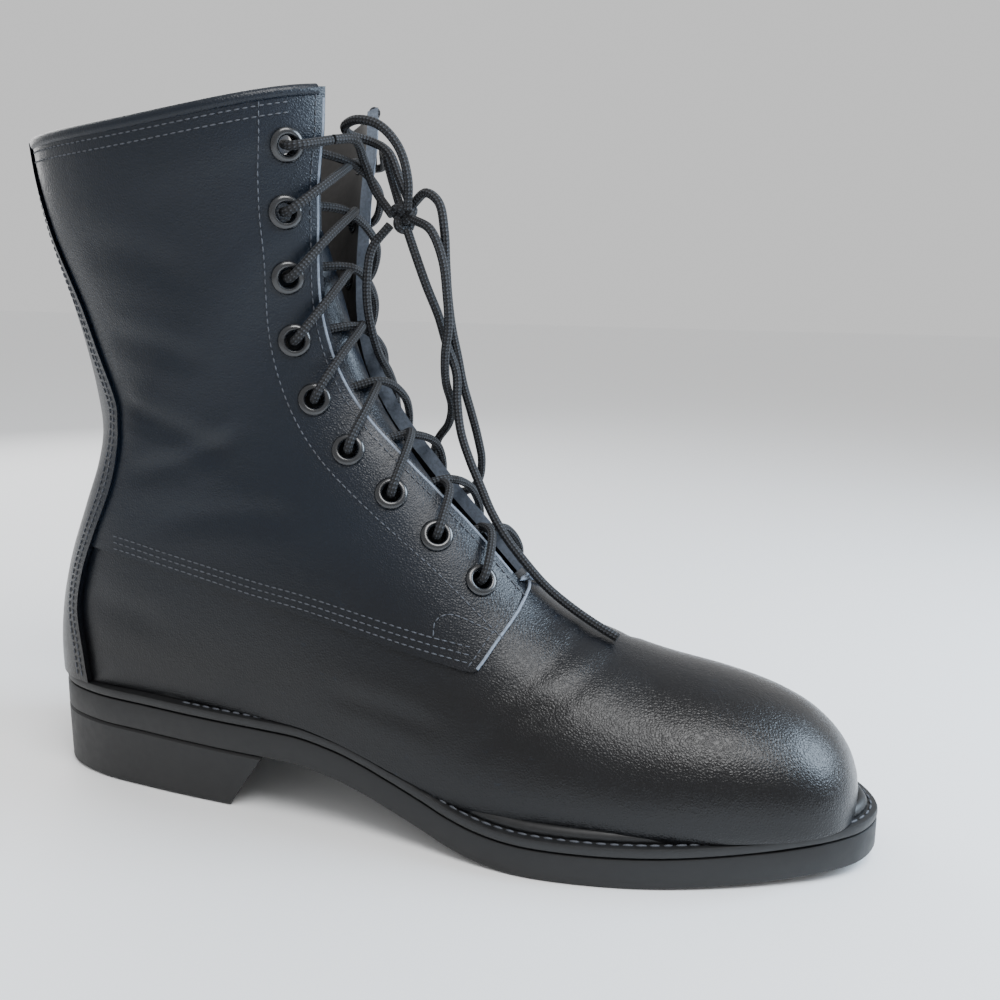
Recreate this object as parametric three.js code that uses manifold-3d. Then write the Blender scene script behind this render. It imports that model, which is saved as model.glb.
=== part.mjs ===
// One right combat boot in millimetres: X runs to the toe, Y to the wearer's left, Z up.
// The origin lies on the floor under the middle of the heel.
import * as THREE from "three";
import { mergeVertices } from "three/addons/utils/BufferGeometryUtils.js";
import Module from "manifold-3d";

const wasm = await Module();
wasm.setup();

// Sizes of the whole boot
const soleLength = 296; // heel to toe along the sole
const ballWidth = 106; // widest part of the sole
const shaftHeight = 208; // heel seat to the front of the collar
const heelStack = 34.5; // floor to the seat of the upper
const foreStack = 13; // floor to the upper under the ball
const toeSpring = 4.5; // rise of the sole's tip
const heelCentre = 40; // from the back of the heel to the origin

// Thicknesses and gaps
const clear = 0.3; // between pieces that meet
const wall = 2.4; // upper leather with its lining
const quarterStep = 1.3; // top layer of the quarters
const stayThickness = 1.2;
const weltThickness = 3.2;
const outsoleThickness = 9.6;
const edgeRound = 0.8; // softened edges of the sole's layers
const weltShow = 6; // welt in sight round the forefoot
const marginWidth = 13; // upper turned in over the welt
const weltReach = 17; // width of the welt ring
const insoleThickness = 3;
const boardInset = 12.5; // insole board's edge to the sole's
const tongueThickness = 2.6;

const collarDip = 6; // how far the collar's rim sinks at the sides

// Heel
const heelLength = 87; // back of the heel to the breast's lower corners
const breastSlant = 0.66; // run of the breast over its height
const breastHollow = 16; // depth of the breast's curve
const breastHalf = 38; // half width of the breast
const heelTaper = 0.4; // how far the heel draws in at the floor

// Throat, eyelets and lace
const eyeletRows = 9;
const eyeletInset = 12; // eyelet centre to the facing's edge
const ringRadius = 5.4;
const holeRadius = 3;
const barrelWall = 0.45;
const flangeHeight = 1;
const laceDiameter = 3;

// Tongue
const tongueHalf = 31; // half width
const tongueDepth = 7.1; // under the outside of the quarters, with room for the lace
const tongueFall = 26; // how far its top falls back
const tongueEnds = [0.325, 0.965]; // shares of the sections between which it runs
const fallStart = 0.58; // share of the sections at which it begins to fall back
const tongueTaper = 9; // how short its rounded top is
const tongueTip = 0.55; // its width at the tip

// Mesh density
const alongSteps = 23;
const aroundSteps = 20;
const outlineSteps = 48;
const ringSides = 7;
const laceSides = 5;
const cordSides = 8;
const tongueAcross = 8;
const tongueSteps = 15;
const breastSides = 48;
const throatSteps = 16;
const collarSteps = 10;
const sideTurn = 0.35; // the outline counts as a side below this much turn
const endTurn = 0.8; // and as an end above this
const collarPast = 0.04; // the inner form runs this share past the collar
const throatPast = 0.06; // and the throat's cutter this share
const rimPast = 0.2; // and the rim's line, a share of its own length
const pastTop = 1.4; // a height above the boot, a share of the shaft
const pastBack = -0.1; // a place behind the boot, a share of the sole
const formSlack = 20; // how far cutting forms overrun

const lerp = (a, b, t) => a + (b - a) * t;
const clamp = (v, lo, hi) => Math.min(hi, Math.max(lo, v));
const smooth = (t) => t * t * (3 - 2 * t);
const table = (names, rows) =>
  rows.map((row) => Object.fromEntries(names.map((name, i) => [name, row[i]])));

// Sections of the last, toe to collar. Each lies in a plane from a point under or behind the
// foot (base, rise) to a point on the front ridge (ridge, crown). Lengths along the sole are
// shares of its length, heights are shares of the shaft above the sole there, widths are
// shares of the ball width. waist is where between the two points the section is widest.
const sections = table(
  ["base", "rise", "ridge", "crown", "half", "swing", "waist", "under", "over"],
  [
    [0.9791, 0.0017, 0.9787, 0.0234, 0.028, 0.033, 0.5, 2.2, 2.2],
    [0.977, -0.0245, 0.975, 0.0498, 0.104, 0.034, 0.5, 2.5, 2.2],
    [0.9689, -0.048, 0.9642, 0.084, 0.179, 0.038, 0.46, 2.7, 2.15],
    [0.951, -0.048, 0.9446, 0.1173, 0.245, 0.042, 0.43, 2.9, 2.1],
    [0.9216, -0.048, 0.9155, 0.1486, 0.302, 0.047, 0.4, 3, 2.05],
    [0.8767, -0.048, 0.8733, 0.1757, 0.351, 0.05, 0.38, 3.1, 2],
    [0.8209, -0.048, 0.8209, 0.1977, 0.392, 0.047, 0.36, 3.1, 1.92],
    [0.7534, -0.048, 0.7584, 0.2174, 0.421, 0.038, 0.34, 3.1, 1.84],
    [0.6824, -0.048, 0.6976, 0.2447, 0.427, 0.021, 0.32, 3, 1.8],
    [0.6081, -0.0793, 0.6436, 0.2788, 0.413, 0.004, 0.33, 3, 1.8],
    [0.5304, -0.1283, 0.6014, 0.3253, 0.387, -0.012, 0.35, 3, 1.82],
    [0.4392, -0.1646, 0.5591, 0.3819, 0.363, -0.023, 0.38, 3, 1.86],
    [0.3446, -0.1683, 0.5169, 0.4276, 0.347, -0.021, 0.4, 3, 1.92],
    [0.2534, -0.1532, 0.4807, 0.4692, 0.34, -0.012, 0.42, 3, 1.98],
    [0.1655, -0.1471, 0.4507, 0.5093, 0.338, -0.005, 0.43, 2.9, 2.02],
    [0.0845, -0.1428, 0.4284, 0.5526, 0.336, 0, 0.43, 2.8, 2.05],
    [0.022, -0.1191, 0.4135, 0.5968, 0.334, 0, 0.43, 2.7, 2.08],
    [0.0061, -0.0278, 0.4041, 0.64, 0.333, 0, 0.43, 2.45, 2.1],
    [0.0051, 0.0611, 0.3986, 0.6818, 0.334, 0, 0.44, 2.25, 2.12],
    [0.0176, 0.1501, 0.3963, 0.722, 0.336, 0, 0.45, 2.1, 2.15],
    [0.0405, 0.2344, 0.3953, 0.7602, 0.338, 0, 0.46, 2, 2.2],
    [0.0628, 0.3162, 0.3953, 0.7939, 0.342, 0, 0.47, 1.9, 2.22],
    [0.0736, 0.3956, 0.3956, 0.8228, 0.347, 0, 0.48, 1.85, 2.25],
    [0.0689, 0.4773, 0.3963, 0.8494, 0.357, 0, 0.48, 1.87, 2.25],
    [0.0574, 0.5638, 0.3973, 0.8762, 0.374, 0, 0.48, 1.9, 2.25],
    [0.0422, 0.6551, 0.3986, 0.903, 0.396, 0, 0.48, 1.95, 2.25],
    [0.0274, 0.7415, 0.4, 0.9298, 0.423, 0, 0.48, 2, 2.25],
    [0.0152, 0.8232, 0.4, 0.9615, 0.443, 0, 0.48, 2, 2.25],
    [0.0088, 0.9015, 0.4, 0.9903, 0.46, 0, 0.48, 2, 2.25],
  ],
);

// Outline of the sole in plan, back to tip: shares of its length and of the ball width.
const soleSides = table(
  ["along", "right", "left"],
  [
    [0.012, 0.155, 0.155],
    [0.045, 0.262, 0.262],
    [0.1, 0.325, 0.322],
    [0.18, 0.352, 0.345],
    [0.27, 0.365, 0.333],
    [0.36, 0.366, 0.3],
    [0.45, 0.376, 0.3],
    [0.54, 0.408, 0.355],
    [0.6, 0.438, 0.425],
    [0.66, 0.452, 0.49],
    [0.72, 0.435, 0.525],
    [0.79, 0.387, 0.51],
    [0.86, 0.31, 0.455],
    [0.92, 0.225, 0.368],
    [0.96, 0.155, 0.275],
    [0.987, 0.08, 0.165],
  ],
);
const tipSwing = 0.03; // the tip lies towards the big toe, a share of the ball width

// Side profile of the sole: the share of the heel's drop that is left at each share of length.
const waistDrop = table(
  ["along", "left"],
  [
    [0, 1],
    [0.17, 0.99],
    [0.27, 0.95],
    [0.34, 0.92],
    [0.385, 0.89],
    [0.432, 0.77],
    [0.47, 0.62],
    [0.507, 0.455],
    [0.53, 0.345],
    [0.564, 0.185],
    [0.605, 0.06],
    [0.642, 0.01],
    [0.69, 0],
    [1, 0],
  ],
);
const springStart = 0.72;

// Lower edge of the quarters as seen from the side, back to front: shares of the sole's
// length and of the shaft's height above the heel seat. It ends in the facing's round corner.
const quarterEdge = table(
  ["along", "rise"],
  [
    [-0.1, 0.249],
    [0.1, 0.245],
    [0.15, 0.238],
    [0.205, 0.222],
    [0.257, 0.207],
    [0.323, 0.189],
    [0.389, 0.174],
    [0.45, 0.156],
    [0.507, 0.138],
    [0.55, 0.124],
    [0.587, 0.115],
    [0.592, 0.127],
    [0.598, 0.144],
    [0.604, 0.161],
    [0.61, 0.179],
    [0.613, 0.196],
    [0.612, 0.214],
    [0.604, 0.230],
    [0.66, 0.323],
    [0.7, 0.6],
  ],
);
const throatEnd = 0.36; // share of the sections at which the throat's opening ends
const facingEnd = 0.3; // share at which the gap between the facings ends
const eyeletEnds = [0.91, 0.376]; // shares at which the top and the lowest eyelet lie

// Half width of the throat at each share of the sections, a share of the ball width
const throatWidths = table(
  ["place", "half"],
  [
    [0.3, 0.06],
    [0.36, 0.072],
    [0.4, 0.092],
    [0.45, 0.112],
    [0.5, 0.125],
    [0.56, 0.134],
    [0.63, 0.147],
    [0.71, 0.163],
    [0.81, 0.175],
    [0.9, 0.178],
    [1, 0.18],
    [1.1, 0.182],
  ],
);

// Front edge of the backstay as seen from the side, sole to collar
const stayEdge = table(
  ["along", "rise"],
  [
    [0.09, -0.046],
    [0.09, -0.007],
    [0.086, 0.050],
    [0.078, 0.132],
    [0.09, 0.199],
    [0.113, 0.267],
    [0.144, 0.353],
    [0.155, 0.421],
    [0.152, 0.464],
    [0.137, 0.512],
    [0.118, 0.565],
    [0.098, 0.642],
    [0.069, 0.728],
    [0.047, 0.815],
    [0.032, 0.901],
    [0.027, 1.012],
  ],
);

// The free lace: the knot's centre, and the route of each strand, bight, loop and end as
// distances in millimetres from it. Each runs on a smooth curve through its rows.
const knotCentre = new THREE.Vector3(94.4, 0.5, 198.3);
const knotRadius = 4.4;
const routeColumns = ["forward", "left", "up"];
const freeRoutes = {
  // from the top outer eyelet to the knot
  strand_lateral: table(routeColumns, [
    [-15.7, -19, 22.3],
    [-12.6, -10.4, 23.2],
    [-14.2, -0.6, 18.2],
    [-12.6, 4.6, 9.2],
    [-5.1, 1.6, 0.9],
  ]),
  // from the top inner eyelet to the knot
  strand_medial: table(routeColumns, [
    [-15.7, 18, 22.3],
    [-13.4, 13, 22.9],
    [-10.3, 8.9, 19.4],
    [-7.2, 7, 12],
    [-2.8, 3.2, 3.4],
  ]),
  // a bight that stands up over the knot
  loop_upper: table(routeColumns, [
    [3, -4.1, 2],
    [4.2, -6.6, 11.3],
    [1.6, -8, 20.9],
    [-4.8, -8.6, 27.7],
    [-13, -7.7, 29.8],
    [-19.6, -3.6, 28.4],
    [-20.2, 3.2, 26.6],
    [-14.6, 7.2, 24.9],
    [-7.6, 4.8, 21],
    [-3.5, 4.3, 12.8],
    [0.8, 2.9, 4.5],
  ]),
  // the bow's loop, down over the inner side and back
  loop_lower: table(routeColumns, [
    [3.4, -0.2, 4.2],
    [8.5, -2.2, 7.4],
    [14, -4.2, 4],
    [16, -4.4, -4.8],
    [15.7, -2.1, -14.7],
    [15.9, -0.6, -25],
    [16.4, 1.8, -35.1],
    [17.2, 5.6, -45],
    [18.1, 8.8, -54.7],
    [19.5, 12.9, -64.2],
    [20.6, 17.1, -73.6],
    [20.6, 21.7, -82.8],
    [17, 27, -91.6],
    [9.7, 30.2, -95.9],
    [1.9, 29.4, -91.5],
    [1, 25.2, -82.6],
    [4.3, 20.4, -75.7],
    [10.6, 14.8, -69],
    [14, 8.6, -61.9],
    [14.2, 2.5, -53.5],
    [15.9, -2.7, -44.2],
    [17.9, -5, -34.6],
    [18, -6.9, -24.5],
    [16.9, -8.2, -13.8],
    [12.4, -7.2, -4.6],
    [4.5, -2.7, -1],
  ]),
  // down over the facings to the vamp
  end_long: table(routeColumns, [
    [2.1, -2, -4.5],
    [6.4, -5, -12.7],
    [10, -4.7, -22.1],
    [13.4, -2.6, -31.6],
    [15, 0.9, -40.9],
    [17.5, 3.6, -50.5],
    [17.9, 3.7, -60.4],
    [19.4, 3.6, -70.5],
    [22.9, 3.4, -80],
    [27.8, 0.9, -88.2],
    [33.2, -3.2, -95.8],
    [39.2, -5, -103.6],
    [45.5, -4.1, -111.4],
    [51.8, -1.9, -119],
    [59.2, -0.6, -125.1],
    [68.2, -1.8, -129.9],
    [77.3, -2.9, -134],
  ]),
  // down over the crossings and the inner side
  end_short: table(routeColumns, [
    [-4.7, -0.8, -2.6],
    [-10.9, -1.4, -10],
    [-12.8, -1.6, -20],
    [-13.1, -0.4, -29.8],
    [-12.7, 3, -39.2],
    [-13.4, 9.8, -46.1],
    [-13.8, 18.2, -52.3],
    [-15.2, 26.6, -59.5],
    [-15.2, 29.6, -68.3],
    [-11.5, 29.9, -77],
    [-6.7, 31.8, -85.5],
    [-1.4, 33.1, -93.8],
    [5, 33.4, -101.5],
    [12.1, 33.6, -109],
    [18.6, 35.4, -117],
    [24, 38, -125.5],
  ]),
};

// Value of one column of a table at a position given by another column.
function lookUp(rows, key, column, at) {
  let i = rows.findIndex((row) => row[key] > at) - 1;
  if (i === -2) i = rows.length - 2;
  i = clamp(i, 0, rows.length - 2);
  const span = rows[i + 1][key] - rows[i][key];
  return curveThrough(rows, column, i, (at - rows[i][key]) / span);
}

// Catmull-Rom value of a column between row i and the next.
function curveThrough(rows, column, i, t) {
  const at = (j) => rows[j][column];
  const p1 = at(i),
    p2 = at(i + 1),
    p0 = i > 0 ? at(i - 1) : 2 * p1 - p2,
    p3 = i + 2 < rows.length ? at(i + 2) : 2 * p2 - p1;
  return (
    0.5 *
    (2 * p1 + (p2 - p0) * t + (2 * p0 - 5 * p1 + 4 * p2 - p3) * t * t + (3 * p1 - p0 - 3 * p2 + p3) * t ** 3)
  );
}

// Height of the plane that the upper stands on, at x from the origin.
function seat(x) {
  const along = (x + heelCentre) / soleLength;
  const drop = clamp(lookUp(waistDrop, "along", "left", clamp(along, 0, 1)), 0, 1);
  const lift = toeSpring * Math.max(0, (along - springStart) / (1 - springStart)) ** 2;
  return foreStack + (heelStack - foreStack) * drop + lift;
}

// The section at u, 0 at the toe and 1 at the collar, as a closed ring of points evenly spaced
// on each side, from the base point round the right to the ridge and back round the left.
const ringCache = new Map();
function denseRing(u) {
  const key = Math.round(u * 1e6);
  if (ringCache.has(key)) return ringCache.get(key);
  const place = u * (sections.length - 1);
  const i = clamp(Math.floor(place), 0, sections.length - 2);
  const row = Object.fromEntries(
    Object.keys(sections[0]).map((name) => [name, curveThrough(sections, name, i, place - i)]),
  );
  const point = (along, rise) => {
    const x = along * soleLength - heelCentre;
    return new THREE.Vector2(x, seat(x) + clear + rise * shaftHeight);
  };
  const base = point(row.base, row.rise);
  const ridge = point(row.ridge, row.crown);
  const samples = 40;
  const halves = [1, -1].map((side) => {
    const half = row.half * ballWidth;
    const points = [];
    for (let k = 0; k <= samples; k++) {
      const angle = (Math.PI * k) / samples;
      const c = -Math.cos(angle);
      const power = 2 / (c < 0 ? row.under : row.over);
      const reach = Math.abs(c) ** power;
      const t = c < 0 ? row.waist * (1 - reach) : row.waist + (1 - row.waist) * reach;
      const out = half * Math.max(0, Math.sin(angle)) ** power;
      points.push(
        new THREE.Vector3(
          lerp(base.x, ridge.x, t),
          row.swing * ballWidth - side * out,
          lerp(base.y, ridge.y, t),
        ),
      );
    }
    const lengths = [0];
    for (let k = 1; k < points.length; k++)
      lengths.push(lengths[k - 1] + points[k].distanceTo(points[k - 1]));
    return { points, lengths };
  });
  ringCache.set(key, halves);
  return halves;
}

// A point of the last's surface: u along, a around, where 0 is the base and 0.5 the ridge.
function surface(u, a) {
  const turn = ((a % 1) + 1) % 1;
  const [right, left] = denseRing(u);
  const { points, lengths } = turn <= 0.5 ? right : left;
  const share = turn <= 0.5 ? turn * 2 : (1 - turn) * 2;
  const goal = share * lengths[lengths.length - 1];
  let k = lengths.findIndex((l) => l >= goal);
  k = clamp(k < 0 ? lengths.length - 1 : k, 1, lengths.length - 1);
  const t = (goal - lengths[k - 1]) / (lengths[k] - lengths[k - 1]);
  return points[k - 1].clone().lerp(points[k], t);
}

const stepU = 0.006,
  stepA = 0.012;
function normal(u, a) {
  const along = surface(clamp(u + stepU, 0, 1.2), a).sub(surface(Math.max(0, u - stepU), a));
  const around = surface(u, a + stepA).sub(surface(u, a - stepA));
  return around.cross(along).normalize();
}

const onSurface = (u, a, off) => surface(u, a).addScaledVector(normal(u, a), off);

// Closed mesh through rings of equal count. Each end is a fan, or strips across the outline.
function skin(rings, caps = "fan") {
  const n = rings[0].length;
  const points = rings.flat();
  const index = [];
  for (let r = 0; r + 1 < rings.length; r++)
    for (let k = 0; k < n; k++) {
      const a = r * n + k,
        b = r * n + ((k + 1) % n);
      index.push(a, b, b + n, a, b + n, a + n);
    }
  for (const end of [0, 1]) {
    const start = end * (rings.length - 1) * n;
    const face = (a, b, c) => index.push(...(end ? [a, b, c] : [a, c, b]));
    if (caps === "fan") {
      const centre = rings[end * (rings.length - 1)]
        .reduce((sum, p) => sum.add(p), new THREE.Vector3())
        .divideScalar(n);
      points.push(centre);
      for (let k = 0; k < n; k++) face(start + k, start + ((k + 1) % n), points.length - 1);
    } else
      for (let k = 0; k < n / 2; k++) {
        const [a, b] = [start + k, start + k + 1];
        const [c, d] = [start + ((n - k) % n), start + n - k - 1];
        if (k > 0) face(a, b, c);
        if (b !== d) face(b, d, c);
      }
  }
  const geometry = new THREE.BufferGeometry().setFromPoints(points);
  geometry.setIndex(index);
  return geometry;
}

// Levels of the sole's layers, top down
const weltTop = (x) => seat(x);
const weltFoot = (x) => seat(x) - weltThickness;
const outsoleTop = (x) => weltFoot(x) - clear;
const outsoleFoot = (x) => Math.max(0, outsoleTop(x) - outsoleThickness);
const below = (height, drop) => (x) => height(x) - drop;

// Mesh to solid and back, always facing out.
function solidOf(geometry) {
  const bare = geometry.clone();
  bare.deleteAttribute("normal");
  bare.deleteAttribute("uv");
  const merged = mergeVertices(bare, 1e-4);
  const triVerts = new Uint32Array(merged.index.array);
  const make = () =>
    new wasm.Manifold(
      new wasm.Mesh({ numProp: 3, vertProperties: merged.attributes.position.array, triVerts }),
    );
  let made = make();
  if (made.volume() < 0) {
    for (let i = 0; i < triVerts.length; i += 3)
      [triVerts[i + 1], triVerts[i + 2]] = [triVerts[i + 2], triVerts[i + 1]];
    made = make();
  }
  return made;
}

function geometryOf(solid) {
  const mesh = solid.getMesh();
  const n = mesh.numProp;
  const positions = new Float32Array(mesh.numVert * 3);
  for (let i = 0; i < mesh.numVert; i++)
    positions.set(mesh.vertProperties.subarray(i * n, i * n + 3), i * 3);
  const geometry = new THREE.BufferGeometry();
  geometry.setAttribute("position", new THREE.BufferAttribute(positions, 3));
  geometry.setIndex(new THREE.BufferAttribute(mesh.triVerts, 1));
  geometry.computeVertexNormals();
  return geometry;
}

// The last's form pushed out by off, from the toe to the collar or past it. The sections run
// on below the seat, where the form is cut flat: the inner form by its own wall higher.
function form(off, past = 0, ground = clear + Math.max(0, -off)) {
  const places = Array.from({ length: alongSteps + 1 }, (_, r) => r / alongSteps);
  if (past) places.push(1 + past);
  const whole = solidOf(
    skin(
      places.map((u) =>
        Array.from({ length: aroundSteps }, (_, k) => onSurface(u, k / aroundSteps, off)),
      ),
    ),
  );
  return whole.intersect(
    slab([
      { inset: -formSlack, height: () => 2 * shaftHeight },
      { inset: -formSlack, height: below(weltTop, -ground) },
    ]),
  );
}

// A side outline (x, z) run right through the boot across Y.
function sidePrism(points) {
  const shape = new THREE.Shape(points.map((p) => new THREE.Vector2(p.x, p.y)));
  const geometry = new THREE.ExtrudeGeometry(shape, {
    depth: 2 * ballWidth,
    bevelEnabled: false,
  });
  geometry.translate(0, 0, -ballWidth);
  geometry.rotateX(Math.PI / 2);
  return solidOf(geometry);
}

// The sole's outline in plan, drawn in by inset, as a ring that starts at the heel.
const outlineCurve = (() => {
  const at = (row, side) =>
    new THREE.Vector3(
      row.along * soleLength - heelCentre,
      (side > 0 ? -row.right : row.left) * ballWidth,
      0,
    );
  const heelBack = new THREE.Vector3(-heelCentre, 0, 0);
  const tip = new THREE.Vector3(soleLength - heelCentre, tipSwing * ballWidth, 0);
  return new THREE.CatmullRomCurve3(
    [
      heelBack,
      ...soleSides.map((row) => at(row, 1)),
      tip,
      ...[...soleSides].reverse().map((row) => at(row, -1)),
    ],
    true,
    "centripetal",
  );
})();

// Along the sides a point keeps its x, so that layers of different insets stay parallel.
function outline(inset) {
  outlineCurve.arcLengthDivisions = 800;
  const base = outlineCurve.getSpacedPoints(outlineSteps).slice(0, outlineSteps);
  return base.map((p, i) => {
    const before = base[(i + outlineSteps - 1) % outlineSteps],
      after = base[(i + 1) % outlineSteps];
    const inwards = new THREE.Vector3(-(after.y - before.y), after.x - before.x, 0).normalize();
    const turned = smooth(clamp((Math.abs(inwards.x) - sideTurn) / (endTurn - sideTurn), 0, 1));
    const across = turned < 1 ? (1 - turned * inwards.x ** 2) / inwards.y : inwards.y;
    return new THREE.Vector3(p.x + turned * inwards.x * inset, p.y + across * inset, 0);
  });
}

// A layer of the sole: rings of the outline, each with its inset and its height function.
function slab(layers) {
  return solidOf(
    skin(
      layers.map(({ inset, height }) =>
        outline(inset).map((p) => new THREE.Vector3(p.x, p.y, height(p.x))),
      ),
      "strips",
    ),
  );
}

// Rim of the sole at a welt's or an outsole's layer
const layerOf = (top, foot, inset) => [
  { inset: inset + edgeRound, height: top },
  { inset, height: below(top, edgeRound) },
  { inset, height: below(foot, -edgeRound) },
  { inset: inset + edgeRound, height: foot },
];

const outsole = slab(layerOf(outsoleTop, outsoleFoot, 0));
const welt = slab(layerOf(weltTop, weltFoot, 0)).subtract(
  slab([
    { inset: weltReach, height: below(weltTop, -formSlack) },
    { inset: weltReach, height: below(weltFoot, formSlack) },
  ]),
);

// Heel: the outline's back part between the floor and the outsole, with a slanted, hollow breast
const breast = heelLength - heelCentre;
const heelTop = (x) => outsoleTop(x) - outsoleThickness - clear;
const heelBlock = slab([
  { inset: edgeRound, height: heelTop },
  { inset: 0, height: below(heelTop, edgeRound) },
  { inset: heelTaper, height: () => edgeRound },
  { inset: heelTaper + edgeRound, height: () => 0 },
]).intersect(
  sidePrism([
    { x: -soleLength, y: -formSlack },
    { x: breast - edgeRound, y: -formSlack },
    { x: breast - edgeRound, y: 0 },
    { x: breast, y: edgeRound * 2 },
    { x: breast + breastSlant * heelStack, y: heelStack },
    { x: -soleLength, y: heelStack },
  ]),
);
const heel = heelBlock.subtract(breastCutter());

// A slanted round post that hollows the heel's breast
function breastCutter() {
  const radius = (breastHalf ** 2 + breastHollow ** 2) / (2 * breastHollow);
  const ringAt = (z) =>
    Array.from({ length: breastSides }, (_, k) => {
      const angle = (2 * Math.PI * k) / breastSides;
      const centre = breast - breastHollow + radius + breastSlant * z;
      return new THREE.Vector3(centre + radius * Math.cos(angle), radius * Math.sin(angle), z);
    });
  return solidOf(skin([ringAt(-formSlack), ringAt(heelStack)]));
}

// Throat cutter: a box section that follows the ridge, from u0 up past the collar
function throatCutter(u0, depth) {
  const rings = [];
  for (let s = 0; s <= throatSteps; s++) {
    const u = lerp(u0, 1 + throatPast, s / throatSteps);
    const half = throatHalf(u);
    const ridge = surface(u, 0.5),
      out = normal(u, 0.5);
    const corner = (y, off) => {
      const p = ridge.clone().addScaledVector(out, off);
      return new THREE.Vector3(p.x, y, p.z);
    };
    rings.push([
      corner(-half, -depth),
      corner(half, -depth),
      corner(half, formSlack),
      corner(-half, formSlack),
    ]);
  }
  return solidOf(skin(rings));
}
function throatHalf(u) {
  return lookUp(throatWidths, "place", "half", u) * ballWidth;
}

// Quarters' outline from the side
const sidePoint = (along, rise) => ({
  x: along * soleLength - heelCentre,
  y: heelStack + rise * shaftHeight,
});
const quarterOutline = [
  ...quarterEdge.map((row) => sidePoint(row.along, row.rise)),
  sidePoint(quarterEdge.at(-1).along, pastTop),
  sidePoint(pastBack, pastTop),
];

// The space above the collar's rim, which dips between its back and its front
function collarLine() {
  const [back, front] = [surface(1, 0), surface(1, 0.5)];
  const rim = Array.from({ length: collarSteps + 1 }, (_, k) => {
    const t = lerp(-rimPast, 1 + rimPast, k / collarSteps);
    const dip = collarDip * 4 * clamp(t, 0, 1) * (1 - clamp(t, 0, 1));
    return { x: lerp(back.x, front.x, t), y: lerp(back.z, front.z, t) - dip - edgeRound };
  });
  return [...rim, { x: soleLength, y: 2 * shaftHeight }, { x: -soleLength, y: 2 * shaftHeight }];
}

// Eyelets: centre and outward direction of each, top row first, right side then left
const eyelets = [];
for (const side of [1, -1])
  for (let row = 0; row < eyeletRows; row++) {
    const u = eyeletPlace(row);
    const a = stepsFromRidge(u, side, eyeletInset);
    eyelets.push({ row, side, u, at: surface(u, a), out: normal(u, a) });
  }

// Rows are evenly spaced along the facing.
function eyeletPlace(row) {
  const [top, foot] = eyeletEnds;
  const samples = 60;
  const places = [top];
  const lengths = [0];
  for (let s = 1; s <= samples; s++) {
    const u = lerp(top, foot, s / samples);
    const before = places[s - 1];
    places.push(u);
    lengths.push(
      lengths[s - 1] +
        surface(u, stepsFromRidge(u, 1, eyeletInset)).distanceTo(
          surface(before, stepsFromRidge(before, 1, eyeletInset)),
        ),
    );
  }
  const goal = (lengths[samples] * row) / (eyeletRows - 1);
  const k = clamp(lengths.findIndex((l) => l >= goal), 1, samples);
  return lerp(places[k - 1], places[k], (goal - lengths[k - 1]) / (lengths[k] - lengths[k - 1]));
}

// Around position that lies a distance past the throat's edge on one side
function stepsFromRidge(u, side, distance) {
  const halves = denseRing(u)[side > 0 ? 0 : 1];
  const { points, lengths } = halves;
  const total = lengths[lengths.length - 1];
  const half = throatHalf(u);
  let k = points.length - 1;
  while (k > 1 && Math.abs(points[k].y) < half) k--;
  const [near, far] = [Math.abs(points[k].y), Math.abs(points[k + 1].y)];
  const edge = lerp(lengths[k], lengths[k + 1], (near - half) / (near - far));
  const share = clamp((edge - distance) / total, 0, 1) / 2;
  return side > 0 ? share : 1 - share;
}

// A turned piece set on an eyelet's axis
function onEyelet(profile, { at, out }) {
  const geometry = new THREE.LatheGeometry(
    profile.map(([r, h]) => new THREE.Vector2(r, h)),
    ringSides,
  );
  geometry.applyQuaternion(
    new THREE.Quaternion().setFromUnitVectors(new THREE.Vector3(0, 1, 0), out),
  );
  geometry.translate(at.x, at.y, at.z);
  return solidOf(geometry);
}
const holeSize = holeRadius + barrelWall + clear;
const holeCutters = eyelets.map((eyelet) =>
  onEyelet(
    [
      [0, -formSlack / 2],
      [holeSize, -formSlack / 2],
      [holeSize, formSlack / 2],
      [0, formSlack / 2],
    ],
    eyelet,
  ),
);

// Upper: outer form with the quarters' layer, less the inner form, the throat, the opening
// under the foot and the eyelet holes
const quarters = form(quarterStep).intersect(sidePrism(quarterOutline)).subtract(throatCutter(facingEnd, formSlack));
const inner = form(-wall, collarPast);
const collarCut = sidePrism(collarLine());
const footOpening = slab([
  { inset: weltShow + marginWidth, height: below(weltTop, -2 * wall) },
  { inset: weltShow + marginWidth, height: below(weltTop, formSlack) },
]);
let upper = form(0)
  .subtract(throatCutter(throatEnd, formSlack))
  .add(quarters)
  .subtract(inner)
  .subtract(footOpening)
  .subtract(collarCut);
upper = holeCutters.reduce((left, cutter) => left.subtract(cutter), upper);

// Insole board on the turned-in margin, with the filler that reaches down to the outsole
const cavity = form(-wall - clear, collarPast);
const boardFoot = below(weltTop, -wall - 2 * clear);
const board = slab([
  { inset: boardInset, height: below(boardFoot, -insoleThickness) },
  { inset: boardInset, height: boardFoot },
]);
const fillerInset = weltShow + marginWidth + clear;
const insole = board.add(
  slab([
    { inset: fillerInset, height: below(boardFoot, -insoleThickness / 2) },
    { inset: fillerInset, height: below(outsoleTop, -clear) },
  ]),
);

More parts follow.
